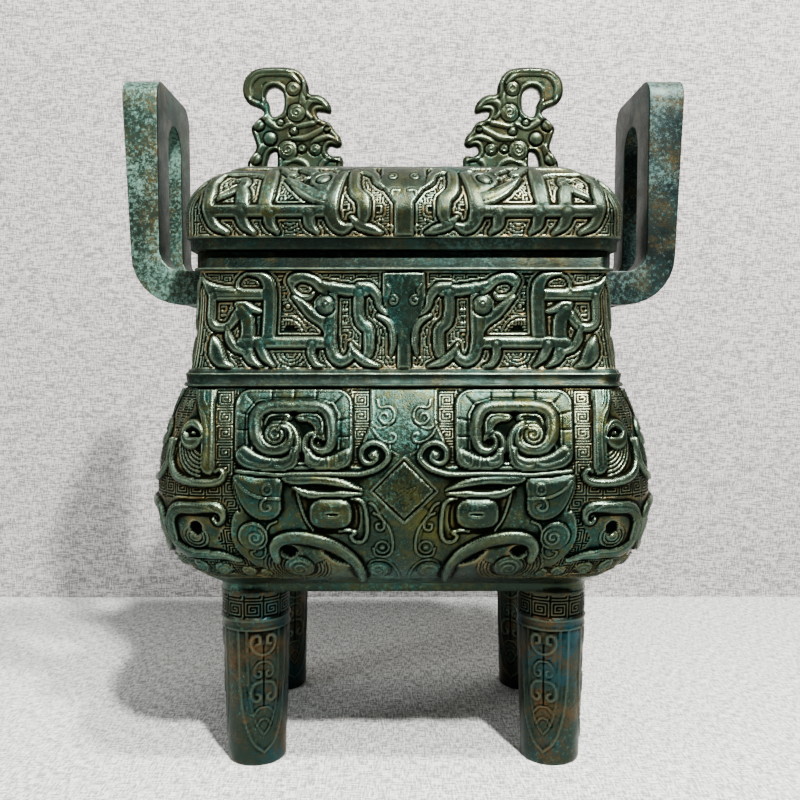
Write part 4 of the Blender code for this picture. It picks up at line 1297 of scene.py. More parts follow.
# %% Body, tail and legs of one dragon
def dragon_body(c):
    """The arched tail, the long body with its two feet, and the hind leg with its claws."""
    c.leaf([(76.4, 35), (73.4, 32.6), (69, 31), (64, 30.2), (60, 29.6), (60, 26), (70.6, 25.6),
            (73.4, 28.4), (75, 31.6)], BAR, CROWN, 2.0, ROUND)
    bar(c, [(69, 27.5), (51, 27.5)], [4.0, 4.0], True)
    c.line([(70, 29.4), (64, 28.9), (61.2, 28.8)], 0.35)
    c.roll([(61.6, 28.8), (61.6, 31.8), (59.4, 34.4), (55.6, 35)], [1.2, 1.1, 1.1], 0.6, 0.3)
    bar(c, [(58.6, 35.2), (53.4, 34.6), (50.4, 31.8), (49.7, 27), (49.6, 18), (49.6, 11)],
        [1.0, 3.0, 4.6, 4.8, 4.8, 4.8])
    bar(c, [(71, 27), (71.2, 22), (70.8, 17.6), (68.6, 15.4), (65, 15.6), (63.2, 17.4), (61.6, 20)],
        [3.0, 2.8, 2.8, 3.0, 3.2, 3.4, 3.8])
    c.leaf([(62.6, 24.6), (58.6, 25), (55.4, 23.2), (52.6, 21.6), (53, 20.6), (56.4, 20.6), (60, 20.4),
            (62, 22)], BAR, 0.4, 1.6, ROUND)
    bar(c, [(60, 21.6), (57.8, 18), (57.2, 12), (56.8, 7), (55, 3.4), (51.6, 1)],
        [4.4, 5.0, 5.0, 4.6, 3.4, 1.4])
    c.leaf([(70.4, 12), (67.6, 10.6), (65.4, 7), (63.6, 3.2), (61, 0.6), (65, 0.2), (68.6, 2.2),
            (70.8, 6)], BAR, 0.5, 1.8, ROUND)
    bar(c, [(65, 15.6), (63.8, 11), (61.2, 7.6), (57.6, 6)], [1.6, 3.2, 3.0, 2.0])
    bar(c, [(59, 9.8), (27, 9.8)], [4.2, 4.0], True)
    bar(c, [(52.8, 9), (50.2, 4.4), (46.8, 1)], [3.8, 3.2, 1.2])
    bar(c, [(33.6, 9), (33.4, 5), (31.4, 1.6), (29, 0.8)], [3.6, 3.0, 2.4, 1.2])


try_out(dragon_body, style=TUBE)


# %% Its head
def dragon_head(c):
    """The crest, the round eye, the jaw, the snout and the curled trunk."""
    c.leaf([(43, 33.4), (40.4, 35.4), (36, 35.4), (31.6, 33.4), (28.6, 30), (28.4, 27.6), (31.6, 28.4),
            (34.4, 31), (38, 32), (40.8, 30.4), (42.6, 30.6)], BAR, CROWN, 2.0, ROUND, per=5)
    c.roll([(41.6, 31), (40.6, 28.6), (38, 26.6), (34.8, 26.4), (33.6, 28)], [1.6, 1.8, 2.0, 1.2],
           0.55, 0.3)
    bar(c, [(41, 26.6), (37.6, 23.8), (34, 20.2), (30, 17.6), (27.6, 15)], [1.4, 3.4, 4.2, 4.4, 4.4])
    bar(c, [(26.4, 27), (27, 20), (27, 13), (26.4, 8), (25, 4.4), (22.4, 2.8), (19.8, 4.2), (19, 7)],
        [3.4, 4.4, 4.8, 4.4, 4.2, 4.0, 3.4, 2.0])
    c.boss(29, 23.5, 4.3, 4.3, 0.9, 0.2)
    c.boss(29, 23.5, 3.4, 3.4, 1.0, 1.2)
    c.cut(arc(29, 23.5, 3.8, 0, 350), 0.5, 0.4)
    c.cut(arc(29, 23.7, 0.9, 0, 340), 0.4, 0.4)
    bar(c, [(30, 31.6), (26.6, 30), (21, 29), (14.6, 28.8)], [1.6, 4.0, 4.2, 4.2])
    bar(c, [(17, 31), (12.6, 29.8), (9.9, 26.8), (8.9, 23), (6.6, 20.6), (4.6, 20.4)],
        [2.0, 3.8, 3.2, 2.4, 1.8, 0.9])
    bar(c, [(16.8, 28), (16.8, 21), (15.6, 17), (13, 14.4), (12.6, 9), (13, 5.6)],
        [3.8, 3.8, 4.2, 4.2, 4.0, 3.4])
    bar(c, [(19.6, 9), (17.4, 5.4), (13.6, 2.6), (9, 1)], [1.2, 3.0, 3.4, 1.4])
    bar(c, [(9.6, 19.6), (6.6, 18), (4.4, 15.2), (3.8, 10), (4.6, 5.6)], [1.6, 2.4, 2.8, 2.6, 1.4])
    c.patch([(-2, -1), (-2, 37), (7.6, 37), (8, 26), (6.2, 20.4), (3.6, 16), (2.4, 12), (2.2, -1)], 0.7)


try_out(dragon_head, style=TUBE)


# %% Rings, coils and marks
def square_rings(c, gaps):
    """Nested squares in the gaps between the bars; a gap is its middle and half its size."""
    for x, t, size in gaps:
        c.patch([(x - size, t - size), (x + size, t - size), (x + size, t + size),
                 (x - size, t + size)], -0.45, soft=0.3)
        reach = size - 0.4
        while reach > 0.3:
            c.thread(rounded(x - reach, t - reach, x + reach, t + reach, 0.3 * reach), 0.5)
            reach -= 1.05


def dragon_details(c):
    """The small coils and rings in the gaps between the bars."""
    for rx, ry in ((4.2, 2.7), (3.0, 1.8), (1.8, 1.0), (0.6, 0.3)):
        c.thread(arc(56.2, 31.9, rx, 0, 355, ry / rx), 0.5)
    c.boss(53.8, 16.4, 2.0, 3.4, -0.7, 0.0)
    c.line([(56, 19.6), (55.8, 15), (54, 12.8), (52, 14.2), (51.8, 18)], 0.5)
    for k in range(4):
        c.thread(arc(60.4, 4.0, 1.1 + 1.1 * k, 185, 345, 0.9), 0.5)
        c.thread(arc(41, 5.8, 1.6 + 1.5 * k, 182, 358, 0.86), 0.5)
    square_rings(c, ((44.2, 31, 3.4), (43, 23.2, 2.9), (33.4, 13.6, 2.5), (52.6, 2.6, 1.6),
                     (29.6, 2.8, 1.6), (66.6, 22.2, 2.4), (9.4, 10, 2.2), (22, 12, 2.3)))
    for path in ([(46.8, 12), (47, 18), (44.6, 19.8), (40.6, 19.2), (37.6, 17), (35.8, 14), (34.8, 11.8)],
                 [(45.6, 12), (45.4, 17), (43, 18.2), (40.4, 17.4), (38.2, 15.4), (36.6, 12)]):
        c.line(path, 0.55)
    c.leaf([(43.8, 12.4), (43.6, 16), (41.4, 16.4), (39, 14.4), (37.8, 12.2)], -0.7)
    c.thread(arc(22, 23.2, 1.6, 0, 345), 0.5)
    c.thread(arc(21.8, 18.2, 1.4, 0, 345), 0.5)
    c.line([(13.6, 26), (14, 22), (12, 19), (9.6, 17.6)], 0.5)
    c.line([(11.8, 25), (12.2, 22.4), (10.4, 20.4)], 0.5)


def dragon_marks(c):
    """The fine lines that lie on the body and on the plaque."""
    c.thread(spiral(4, 25.2, 2.0, 70, 1.2), 0.45)
    c.thread(spiral(4.6, 3.2, 1.9, -60, 1.2), 0.45)
    c.line([(5.6, 27.4), (5.2, 29.4), (6.4, 31)], 0.35)
    c.cut(curve([(70, 26.4), (62, 26.6), (53, 26.4)]), 0.3, 0.4)
    c.cut(curve([(38, 33.6), (33.6, 32.8), (30.4, 30)]), 0.3, 0.4)
    c.cut(curve([(25.6, 26), (26.2, 18), (26, 10), (24, 5.6)]), 0.25, 0.4)
    c.cut(curve([(15.6, 26), (15.4, 20), (12.4, 15), (12, 9)]), 0.25, 0.4)


try_out(dragon_details, dragon_marks)


# %% Figures on their ground
def steps_from(mask):
    """How many cells each cell lies away from a mask, counted outwards up to eight."""
    far = np.where(mask, 0.0, 8.0)
    for _ in range(8):
        for turn in ((1, 0), (-1, 0), (0, 1), (0, -1), (1, 1), (1, -1), (-1, 1), (-1, -1)):
            step = 1.41 if all(turn) else 1
            far = np.minimum(far, np.roll(far, turn, axis=(0, 1)) + step)
    return far


def outlined(c, figures, details, style):
    """Lay figures on coiled ground, with one thin raised line that follows every edge."""
    board = Clay(c.s[0], c.t[:, 0], style)
    for figure in figures:
        figure(board)
    details(c)
    away = steps_from(board.h > 0.3)
    beside = away < 4.2
    c.h = np.where(beside, -0.5, c.h)
    c.h += 0.65 * smooth(1 - abs(away - 2.6) / 1.3) * beside
    shown = smooth(board.h / 0.5)
    c.h = board.h * shown + c.h * (1 - shown)


def dragon_clay(across, up):
    """One side of the neck, on its ground of thunder spirals."""
    c = Clay(across, up)
    c.coils([(-1, -1), (80, -1), (80, 37), (-1, 37)], 10, (8.0, 0.5))
    outlined(c, (dragon_body, dragon_head), dragon_details, TUBE)
    dragon_marks(c)
    c.h *= smooth((c.t - 0.1) / 0.8) * smooth((35.9 - c.t) / 0.8)
    return c.h


# %% The four sides of the neck
NECK_BOARD, NECK_MIDDLE = 76.0, 71.0     # half the board's breadth, and the metal's, also for the lid


def plain_bands(piece, total, first, last, columns):
    """Give the rows below and above the carved ones the darker finish of the plain bands, whose dark is
    painted shade and painted dark reflection.
    """
    piece.data.materials.append(FINISHES["shaded_band_bronze"])
    count = (total - 1) * (columns - 1)
    rows = np.arange(count) // (columns - 1)
    slots = np.zeros(len(piece.data.polygons), int)
    slots[:count][(rows < first) | (rows >= last - 1)] = 1
    piece.data.polygons.foreach_set("material_index", slots)


def zone_sides(zone, node, profile, inner_rows, board, flat, seed):
    """Carved slabs of one zone; its profile has plain rows below and above the carved ones."""
    before, carved, after = profile
    length = walk(carved, 0.0)[1]
    up = np.linspace(0.0, length, int(round(length / STEP)) + 1)
    rows = np.vstack([before, walk(carved, up)[0], after])
    first, last = len(before), len(before) + len(up)
    for side, label in enumerate(SIDES):
        across = spread(side % 2 == 0, NECK_BOARD, flat, NECK_MIDDLE)
        heights = np.zeros((len(rows), 2 * len(across) - 1))
        heights[first:last] = mirrored(board(across, up))
        heights = cast_skin(heights, seed + side)
        piece = carved_side(f"{zone}_{label}", side, rows, inner_rows, across, flat, heights,
                            f"{zone}_bronze", edge_wear_and_highlight(rows))
        plain_bands(piece, len(rows), first, last, heights.shape[1])
        give(piece, node)
        print(piece.name, triangles(piece), "triangles")


zone_sides("neck", "vessel", neck_rows(),
           cut_rows(wall_inside(), COLLAR_Z, MOUTH_Z), dragon_clay, NECK_FLAT, 20)

# %% [markdown]
# ## The lid
#
# The lid has dragons too on its domed side, a little lower because the dome is shorter, and with
# flatter and broader bars, over a plain rim. Its flat top is plain. A lip below it sits inside
# the mouth, and two openwork crests stand on it, which are its grips and its feet when it lies
# upside down.

# %% The lid's own dragon
def lid_dragon(c):
    """Half a side of the lid: a longer body, straighter bars and a plain strip along the top."""
    bar(c, [(75, 24), (72.6, 27), (68, 27.4), (60, 27.2), (55, 26)], [2.6, 3.2, 3.2, 3.4, 3.6])
    bar(c, [(73.4, 25.6), (72.6, 20), (70, 15), (68.6, 9), (66.6, 4), (62, 1.2)],
        [3.2, 3.2, 3.6, 3.6, 3.2, 1.6])
    bar(c, [(57, 31), (54.6, 27), (51.4, 21), (49.4, 15), (48.8, 9.6)], [3.0, 4.2, 4.6, 4.6, 4.4])
    bar(c, [(66, 13.6), (63, 16.6), (60.6, 20), (62.6, 23), (65.4, 22)], [1.4, 3.4, 3.6, 2.4, 1.0])
    bar(c, [(61, 19), (58, 14.6), (56.6, 9.4)], [3.0, 4.2, 4.4])
    bar(c, [(66, 9), (27, 9)], [3.8, 3.8], True)
    for foot in ([(57.4, 8), (56, 4), (52.6, 1)], [(47.4, 8), (46.8, 4), (44.4, 1.2)],
                 [(33.4, 8), (33, 4), (30.4, 1.2)]):
        bar(c, foot, [4.0, 3.4, 1.4])
    c.leaf([(52.6, 32), (48.6, 29.6), (44.4, 27.8), (43.6, 25.4), (46.6, 25.2), (50, 27.6), (53, 29.4),
            (56, 32)], BAR, CROWN, 1.8, ROUND)
    bar(c, [(44, 31), (38.6, 28.6), (36.4, 25.6), (38.4, 23.4)], [3.0, 3.6, 3.0, 1.6])
    bar(c, [(46, 23.6), (41, 20.4), (36, 17), (31, 14.2), (27, 13)], [1.2, 3.0, 4.4, 4.8, 4.4])
    c.leaf([(37, 26.6), (33, 28.8), (29, 27.6), (25.4, 25), (25, 18), (27.6, 15.4), (32, 17.6),
            (36, 21)], BAR, 0.3, 2.4, ROUND)
    c.boss(31.4, 22.8, 2.7, 2.6, 0.9, 0.7)
    c.cut(arc(31.4, 22.8, 2.9, 0, 350, 0.95), 0.6)
    c.cut(curve([(40, 24.4), (37, 25.4), (34.6, 27)]), 0.4, 0.4)
    c.cut(curve([(43, 20.4), (37, 16.6), (31, 13.4), (26.4, 12)]), 0.35, 0.4)
    bar(c, [(25, 27), (25.4, 18), (25.6, 9), (24.4, 4.6), (21.6, 2.6), (18.6, 3.6)],
        [3.4, 4.0, 4.6, 4.2, 3.8, 2.0])
    bar(c, [(28, 30), (14, 29.4)], [3.8, 3.8], True)
    bar(c, [(20.4, 28), (19, 21), (17.6, 16.6), (14.6, 13.2), (14, 8), (14.8, 4.4)],
        [4.0, 3.8, 4.2, 4.4, 4.0, 2.4])
    bar(c, [(15.6, 29), (11.8, 26), (10.2, 22), (7.4, 19.4), (5.6, 19.2)], [3.4, 3.2, 3.0, 2.4, 1.0])
    bar(c, [(18.4, 6.6), (15.6, 3.8), (11, 2.2), (8, 1.2)], [1.4, 3.2, 3.0, 1.2])
    c.patch([(-2, -2), (-2, 33), (10, 33), (9.2, 26), (8.6, 20.6), (5.2, 14.6), (3.4, 12), (3.2, -2)],
            0.7)


try_out(lid_dragon, style=BAND)


# %% The board of a lid side
def lid_details(c):
    """Rings and coils in the gaps of the lid's dragon."""
    for k in range(4):
        c.thread(arc(61, 4.6, 1.2 + 1.15 * k, 180, 330, 0.85), 0.5)
        c.thread(arc(40.2, 5.4, 1.8 + 1.5 * k, 182, 358, 0.8), 0.5)
    c.thread(rounded(51.6, 11.6, 57.4, 22.4, 2.6), 0.55)
    square_rings(c, ((45, 13.2, 2.6), (39.2, 13.2, 2.6), (66, 18.6, 2.4), (52.4, 3, 1.8),
                     (28.8, 3, 1.8), (20.6, 10.4, 2.6), (9.2, 9.6, 2.8), (22.6, 23, 2.0)))
    c.line([(18.2, 25), (15.6, 23), (13.6, 19.4), (12.8, 16)], 0.5)


def lid_clay(across, up):
    """One side of the lid, with a plain strip along its top."""
    c = Clay(across, up)
    c.coils([(-1, -2), (80, -2), (80, 31.6), (-1, 31.6)], 10, (8.0, 0.5))
    outlined(c, (lid_dragon,), lid_details, BAND)
    c.thread(spiral(4.6, 24.8, 2.0, 70, 1.2), 0.45)
    c.thread(spiral(4.8, 2.6, 1.7, -60, 1.2), 0.45)
    c.line([(1.6, 17), (4, 17.2), (4.4, 15)], 0.4)
    top = up[-1] - 3.6
    c.h += (0.5 - c.h) * smooth((c.t - top) / 0.7)
    c.h *= smooth((c.t + 0.1) / 0.8) * smooth((up[-1] - 0.1 - c.t) / 0.8)
    return c.h


# %% The four sides of the lid
rim, dome = lid_rows()
bore = LIP_HALF - LIP_THICKNESS + 1.0
inner = inset(dome, WALL)
inner = inner[(inner[:, 1] > LID_Z + LID_RIM + 0.4) & (inner[:, 1] < TOP_Z - WALL)][::8]
inner = np.vstack([[bore, LID_Z, 4], [bore, LID_Z + LID_RIM, 4], inner, [dome[-1, 0] - WALL, TOP_Z, 5]])
no_rows = np.zeros((0, 3))
zone_sides("lid", "lid", (rim, dome, no_rows), inner, lid_clay, LID_FLAT, 30)

# %% [markdown]
# ## Floor of the cauldron, top of the lid and its lip
#
# These parts are plain sweeps: rings of points, each a rectangle with round corners, skinned one
# after another. The floor closes the cauldron between its walls, and the lip is an open ring that
# keeps the lid from sliding.

# %% Rings and skins
def ring(half, height, corner):
    """One level: a rectangle with round corners, seen from above anticlockwise."""
    points = []
    for turn, (sx, sy) in enumerate(((1, 1), (-1, 1), (-1, -1), (1, -1))):
        for angle in np.radians(90 * (turn + np.linspace(0, 1, 9))):
            points.append((sx * (half - corner) + corner * math.cos(angle),
                           sy * (half - SIDE_STEP - corner) + corner * math.sin(angle), height))
    return points


def sweep(name, rings, finish, closed=False, numbers=None):
    """A solid through rings of equally many points; a closed one comes back to its start."""
    levels, count = len(rings), len(rings[0])
    points = [p for level in rings for p in level]
    faces = []
    for a in range(levels if closed else levels - 1):
        b = (a + 1) % levels
        faces += [(a * count + i, a * count + (i + 1) % count, b * count + (i + 1) % count, b * count + i)
                  for i in range(count)]
    ends = [] if closed else [list(range(count))[::-1], list(range((levels - 1) * count, levels * count))]
    return finish_mesh(name, points, faces, ends, finish, numbers)


# %% Floor, top and lip
floor_half = BASE_HALF - 2.2
floor_rows = [(floor_half, LEG_HEIGHT + 0.2, 6.0), (floor_half, LEG_HEIGHT + WALL, 6.0)]
floor_plate = give(sweep("cauldron_floor", [ring(*row) for row in floor_rows], "inner_bronze"),
                   "vessel")

top_half = LID_HALF - LID_DOME_INSET - 1.2
top_rows = [(top_half, TOP_Z - WALL, 6.8), (top_half, TOP_Z + 0.25, 6.8),
            (top_half - 0.4, TOP_Z + 0.4, 6.4)]
lid_top = give(sweep("lid_top", [ring(*row) for row in top_rows], "lid_bronze"), "lid")

LIP_DEPTH = 8.0
lip_low, lip_bore = MOUTH_Z - LIP_DEPTH, LIP_HALF - LIP_THICKNESS
lip_rows = [(LIP_HALF, LID_Z + 4, 2.5), (LIP_HALF, lip_low + 0.4, 2.5), (LIP_HALF - 0.4, lip_low, 2.3),
            (lip_bore + 0.4, lip_low, 1.6), (lip_bore, lip_low + 0.4, 1.5), (lip_bore, LID_Z + 4, 1.5)]
lid_lip = give(sweep("lid_lip", [ring(*row)[::-1] for row in lip_rows], "inner_bronze", closed=True),
               "lid")
print("plain pieces:", [(o.name, triangles(o)) for o in (floor_plate, lid_top, lid_lip)])

# %% [markdown]
# ## The legs
#
# Four columns that widen a little towards the top. Each has a band of thunder spirals under the
# belly, a raised ring, and three hanging blades round it, one of them facing out and a little to
# the inside. The board of clay is rolled round the column: across it is the angle, up it is the
# height.

# %% One blade
LEG_FOOT_RADIUS, LEG_TOP_RADIUS, LEG_INSET = 11.4, 13.3, 12.1
BLADE_HALF = 13.0        # half the space of one blade, in millimetres round the leg


def blade(c):
    """Half of one hanging blade, with the mirrored coils inside it."""
    outline = [(9.6, 53.6), (9.6, 40), (9.2, 28), (7.8, 18), (4.6, 9.6), (0, 5.2)]
    inner = [(6.4, 53.6), (6.3, 40), (5.8, 30), (4.6, 21.6), (2.4, 15.4), (0, 12.2)]
    c.roll(outline, 0.9, 0.34, 0.12)
    c.line(inner, 0.32)
    c.roll([(0, 44), (2.6, 45), (4.6, 47.6), (4.2, 51), (1.8, 51.4), (1.4, 48.8), (2.8, 48.2)],
           [0.8, 1.2, 1.3, 1.2, 0.8], 0.34, 0.1)
    c.line([(0, 41.4), (1.8, 41), (3.6, 38.6), (3.4, 36), (1.6, 35.4), (0.9, 37), (1.9, 37.8)], 0.32)
    c.roll([(0.8, 33.6), (3.6, 32.6), (5, 29.6), (4.4, 26.6), (2.2, 26), (1.3, 27.8), (2.6, 28.8)],
           [0.8, 1.2, 1.3, 1.2, 0.8], 0.34, 0.1)
    c.line([(0, 23.2), (2, 22.8), (4, 20.4)], 0.32)
    c.line([(0, 18.8), (1.4, 18.2), (2.8, 16)], 0.3)
    c.cut([(0, 48), (0, 24)], 0.25, 0.4)


# %% The board of a leg
LEG_MIDDLE_RADIUS = 12.4
RING_Z, RING_TOP_Z, COIL_TOP_Z = 54.0, 57.6, 67.6      # the raised ring, and the end of the spirals
COIL_CELLS = 12


def leg_clay(angles, up):
    """Heights round a leg: three blades, the raised ring and the band of spirals."""
    half = np.linspace(0, BLADE_HALF, 24)
    c = Clay(half, up)
    blade(c)
    third = math.radians(120)
    offset = abs((angles + third / 2) % third - third / 2) * LEG_MIDDLE_RADIUS
    heights = np.array([np.interp(offset, half, row) for row in c.h])
    tile = -0.4 * (1 - square_coil(COIL_CELLS))
    first = np.searchsorted(up, RING_TOP_Z + 0.6)
    lines = np.arange(len(up) - first) % COIL_CELLS
    heights[first:] = tile[lines[:, None], np.arange(len(angles)) % COIL_CELLS]
    heights[up > COIL_TOP_Z] = 0.0
    level = up[:, None]
    heights += 0.55 * smooth(1 - abs(level - RING_Z) / 0.8)
    heights += 0.55 * smooth(1 - abs(level - RING_TOP_Z) / 0.7)
    heights += 0.15 * smooth((level - RING_Z - 0.2) / 0.5) * smooth((RING_TOP_Z + 0.2 - level) / 0.5)
    return heights * smooth(level / 0.8)


# %% The four legs
LEG_POINTS = 132         # round one leg
LEG_TURN = 22.0          # degrees by which a blade looks towards the middle


def three_times(grid):
    """A grid beside itself, so that a blur runs on round the leg."""
    return np.hstack([grid, grid, grid])


def build_leg(name, sx, sy, seed):
    """A carved tube with a flat foot; its top ends inside the floor of the cauldron."""
    cx = sx * (BASE_HALF - LEG_INSET)
    cy = sy * (BASE_HALF - LEG_INSET - SIDE_STEP)
    angles = np.arange(LEG_POINTS) * 2 * math.pi / LEG_POINTS
    up = np.concatenate([[0.0, 0.4], np.arange(1.0, LEG_HEIGHT + 0.1, 0.6)])
    facing = math.radians(sy * (90 + LEG_TURN * sx))
    heights = leg_clay((angles - facing) % (2 * math.pi), up)
    once = slice(LEG_POINTS, 2 * LEG_POINTS)
    waves = np.random.default_rng(seed).normal(size=heights.shape)
    waves = soften(soften(three_times(waves), 4), 4)[:, once]
    heights += 0.05 * waves / waves.std() * smooth(up / 2)[:, None]
    heights[0] = -0.5
    radius = LEG_FOOT_RADIUS + (LEG_TOP_RADIUS - LEG_FOOT_RADIUS) * up[:, None] / LEG_HEIGHT + heights
    rings = [[(cx + r * math.cos(a), cy + r * math.sin(a), z) for r, a in zip(row, angles)]
             for row, z in zip(radius, up)]
    rings.append([(cx + 10 * math.cos(a), cy + 10 * math.sin(a), LEG_HEIGHT + 2.5) for a in angles])
    numbers = {label: np.append(grid.reshape(len(up), -1)[:, once], np.zeros(LEG_POINTS))
               for label, grid in finish_numbers(three_times(heights)).items()}
    return give(sweep(name, rings, "leg_bronze", numbers=numbers), "vessel")


legs = [build_leg("leg_front_left", -1, -1, 40), build_leg("leg_front_right", 1, -1, 41),
        build_leg("leg_back_right", 1, 1, 42), build_leg("leg_back_left", -1, 1, 43)]
print("legs:", [(leg.name, triangles(leg)) for leg in legs])

# %% [markdown]
# ## The ears
#
# Each ear is a thick strap that leaves the neck below the rim, bends up, and leans out a little.
# From the side it is an arch with a tall slot in it. It is cut as a joiner would cut it: the bent
# strap's outline is drawn out across its width, trimmed to the arch, and the slot is sawn out.
# A bevel then takes the sharpness off every edge, as use has done.

# %% A strap, trimmed and sawn
EAR_WIDTH, EAR_SLOT, EAR_REACH, EAR_THICKNESS, EAR_TOP_THICKNESS = 54.0, 21.0, 20.4, 11.5, 14.2
EAR_FOOT_DROP, EAR_FOOT_THICKNESS, EAR_RISE, EAR_BRIDGE = 18.0, 13.4, 71.5, 13.5
EAR_CORNER, EAR_BEND, EAR_ROOT, EAR_EDGE = 9.0, 8.0, 2.8, 1.1


def prism(name, outline, axis, start, end):
    """An outline of two coordinates, drawn out along the third axis."""
    bm = bmesh.new()
    low, high = ([bm.verts.new([c * MM for c in (*p[:axis], level, *p[axis:])])
                  for p in map(list, outline)] for level in (start, end))
    bm.faces.new(low[::-1])
    bm.faces.new(high)
    for i in range(len(low)):
        j = (i + 1) % len(low)
        bm.faces.new((low[i], low[j], high[j], high[i]))
    bmesh.ops.recalc_face_normals(bm, faces=bm.faces[:])
    mesh = bpy.data.meshes.new(name)
    bm.to_mesh(mesh)
    bm.free()
    made = bpy.data.objects.new(name, mesh)
    bpy.context.collection.objects.link(made)
    return made


def settle(piece):
    """Apply a piece's modifiers to its mesh."""
    shape = piece.evaluated_get(bpy.context.evaluated_depsgraph_get())
    mesh = bpy.data.meshes.new_from_object(shape)
    piece.modifiers.clear()
    piece.data = mesh
    mesh.name = piece.name


def sawn(piece, tool, operation):
    """Trim a piece with a tool, and put the tool away."""
    step = piece.modifiers.new(operation, "BOOLEAN")
    step.operation = operation
    step.object = tool
    step.solver = "EXACT"
    settle(piece)
    bpy.data.objects.remove(tool)


def strap_outline(inner, low, top):
    """The bent strap from the side: out from the neck, round the bend and up to the top."""
    root = RIM_HALF - EAR_ROOT
    foot_top = low + EAR_FOOT_THICKNESS
    bend = EAR_BEND + EAR_THICKNESS
    middle = (inner + 0.5 * (EAR_THICKNESS + EAR_TOP_THICKNESS), 0.5 * (low + bend + top))
    return [(root, low), *curve([(root + 8, low + 0.2), (root + 12, low)], 2),
            *arc(inner + EAR_THICKNESS - bend, low + bend, bend, -90, 0),
            middle, (inner + EAR_TOP_THICKNESS, top), (inner, top),
            *arc(inner - EAR_BEND, foot_top + EAR_BEND, EAR_BEND, 0, -90), (root, foot_top)]


# %% The two ears
def build_ear(name, side):
    """One ear; side is 1 on the right and -1 on the left."""
    inner = RIM_HALF + EAR_REACH
    low = MOUTH_Z - EAR_FOOT_DROP
    top = MOUTH_Z + EAR_RISE
    half, slot_half = EAR_WIDTH / 2, EAR_SLOT / 2
    outline = [(side * x, z) for x, z in strap_outline(inner, low, top)]
    ear = prism(name, outline, 1, -half, half)
    beyond = side * (inner + 2 * EAR_TOP_THICKNESS)
    arch = [(-half, low - WALL), (half, low - WALL),
            *arc(half - EAR_CORNER, top - EAR_CORNER, EAR_CORNER, 0, 90),
            *arc(EAR_CORNER - half, top - EAR_CORNER, EAR_CORNER, 90, 180)]
    ends = sorted((side * (RIM_HALF - EAR_ROOT - WALL), beyond))
    sawn(ear, prism("arch", arch, 0, *ends), "INTERSECT")
    slot = [(-slot_half, low - WALL), (slot_half, low - WALL),
            *arc(0, top - EAR_BRIDGE - slot_half, slot_half, 0, 180)]
    ends = sorted((side * (RIM_HALF + 1), beyond))
    sawn(ear, prism("slot", slot, 0, *ends), "DIFFERENCE")
    round_edges = ear.modifiers.new("worn edges", "BEVEL")
    round_edges.width = EAR_EDGE * MM
    round_edges.segments = 3
    round_edges.angle_limit = math.radians(35)
    settle(ear)
    ear.data.materials.clear()
    for finish in (f"{name}_bronze", "ear_inside_bronze"):
        ear.data.materials.append(FINISHES[finish])
    for face in ear.data.polygons:
        face.use_smooth = True
        face.material_index = int(-side * face.normal.x > 0.7)
    ear.data.set_sharp_from_angle(angle=math.radians(40))
    return give(ear, "vessel")


ears = [build_ear("ear_left", -1), build_ear("ear_right", 1)]
print("ears:", [(ear.name, triangles(ear)) for ear in ears])

# %% [markdown]
# ## The crests on the lid
#
# Each crest is a flat openwork dragon with a hooked crown, a round eye and a curled tusk, carved
# on both its faces. Its outline is cut on a fine grid, like fretwork from a sheet: cells outside
# the outline or inside a hole fall away, and the points along the cut are moved onto it. The two
# faces carry the same board of clay and come together over rounded edges.

# %% Outline of a crest
CREST_LENGTH, CREST_HEIGHT, CREST_THICKNESS, CREST_SPREAD = 42.2, 49.8, 5.6, 50.8
CREST_STEP = 0.45


def crest_outline():
    """Its edge and its two holes, in millimetres from its outer end and from the lid."""
    edge = [(2.4, -2), (2.4, 4), (1.6, 9), (3.0, 12.6), (5.4, 16), (4.4, 20.4), (3.4, 24.4), (6, 28),
            (8.8, 30.2), (7.4, 32.6), (2.6, 34.6), (0.4, 37.6), (0, 41.4), (1.2, 45.4), (5, 48.6),
            (11, 49.6), (20, 49.4), (25, 47.2), (27.4, 42.6), (28.2, 38.8), (31.6, 38.4), (35, 36.6),
            (37.2, 33.4), (36.8, 30.8), (33.6, 31.4), (31, 31.2), (32.4, 28.4), (36.6, 26.6),
            (38.6, 23.6), (41, 20.8), (41.6, 17.6), (39.6, 16.4), (36.6, 17), (35.6, 14.6), (37.6, 12.8),
            (41.6, 12.6), (42, 8), (40.4, 3), (41, -2)]
    upper = [(9.6, 37.2), (10.6, 40.4), (13.4, 41.6), (16.6, 39.6), (17.4, 35.6), (16.6, 31.2),
             (13, 29.2), (11.4, 31.4), (11, 34.4)]
    lower = [(9.4, 1.4), (13, 1.8), (14.2, 8), (14, 14.4), (11.2, 13.6), (9.6, 8)]
    return curve([*edge, edge[0]], 4)[:-1], loop(upper), loop(lower)


print("the crest's edge has", len(crest_outline()[0]), "points")


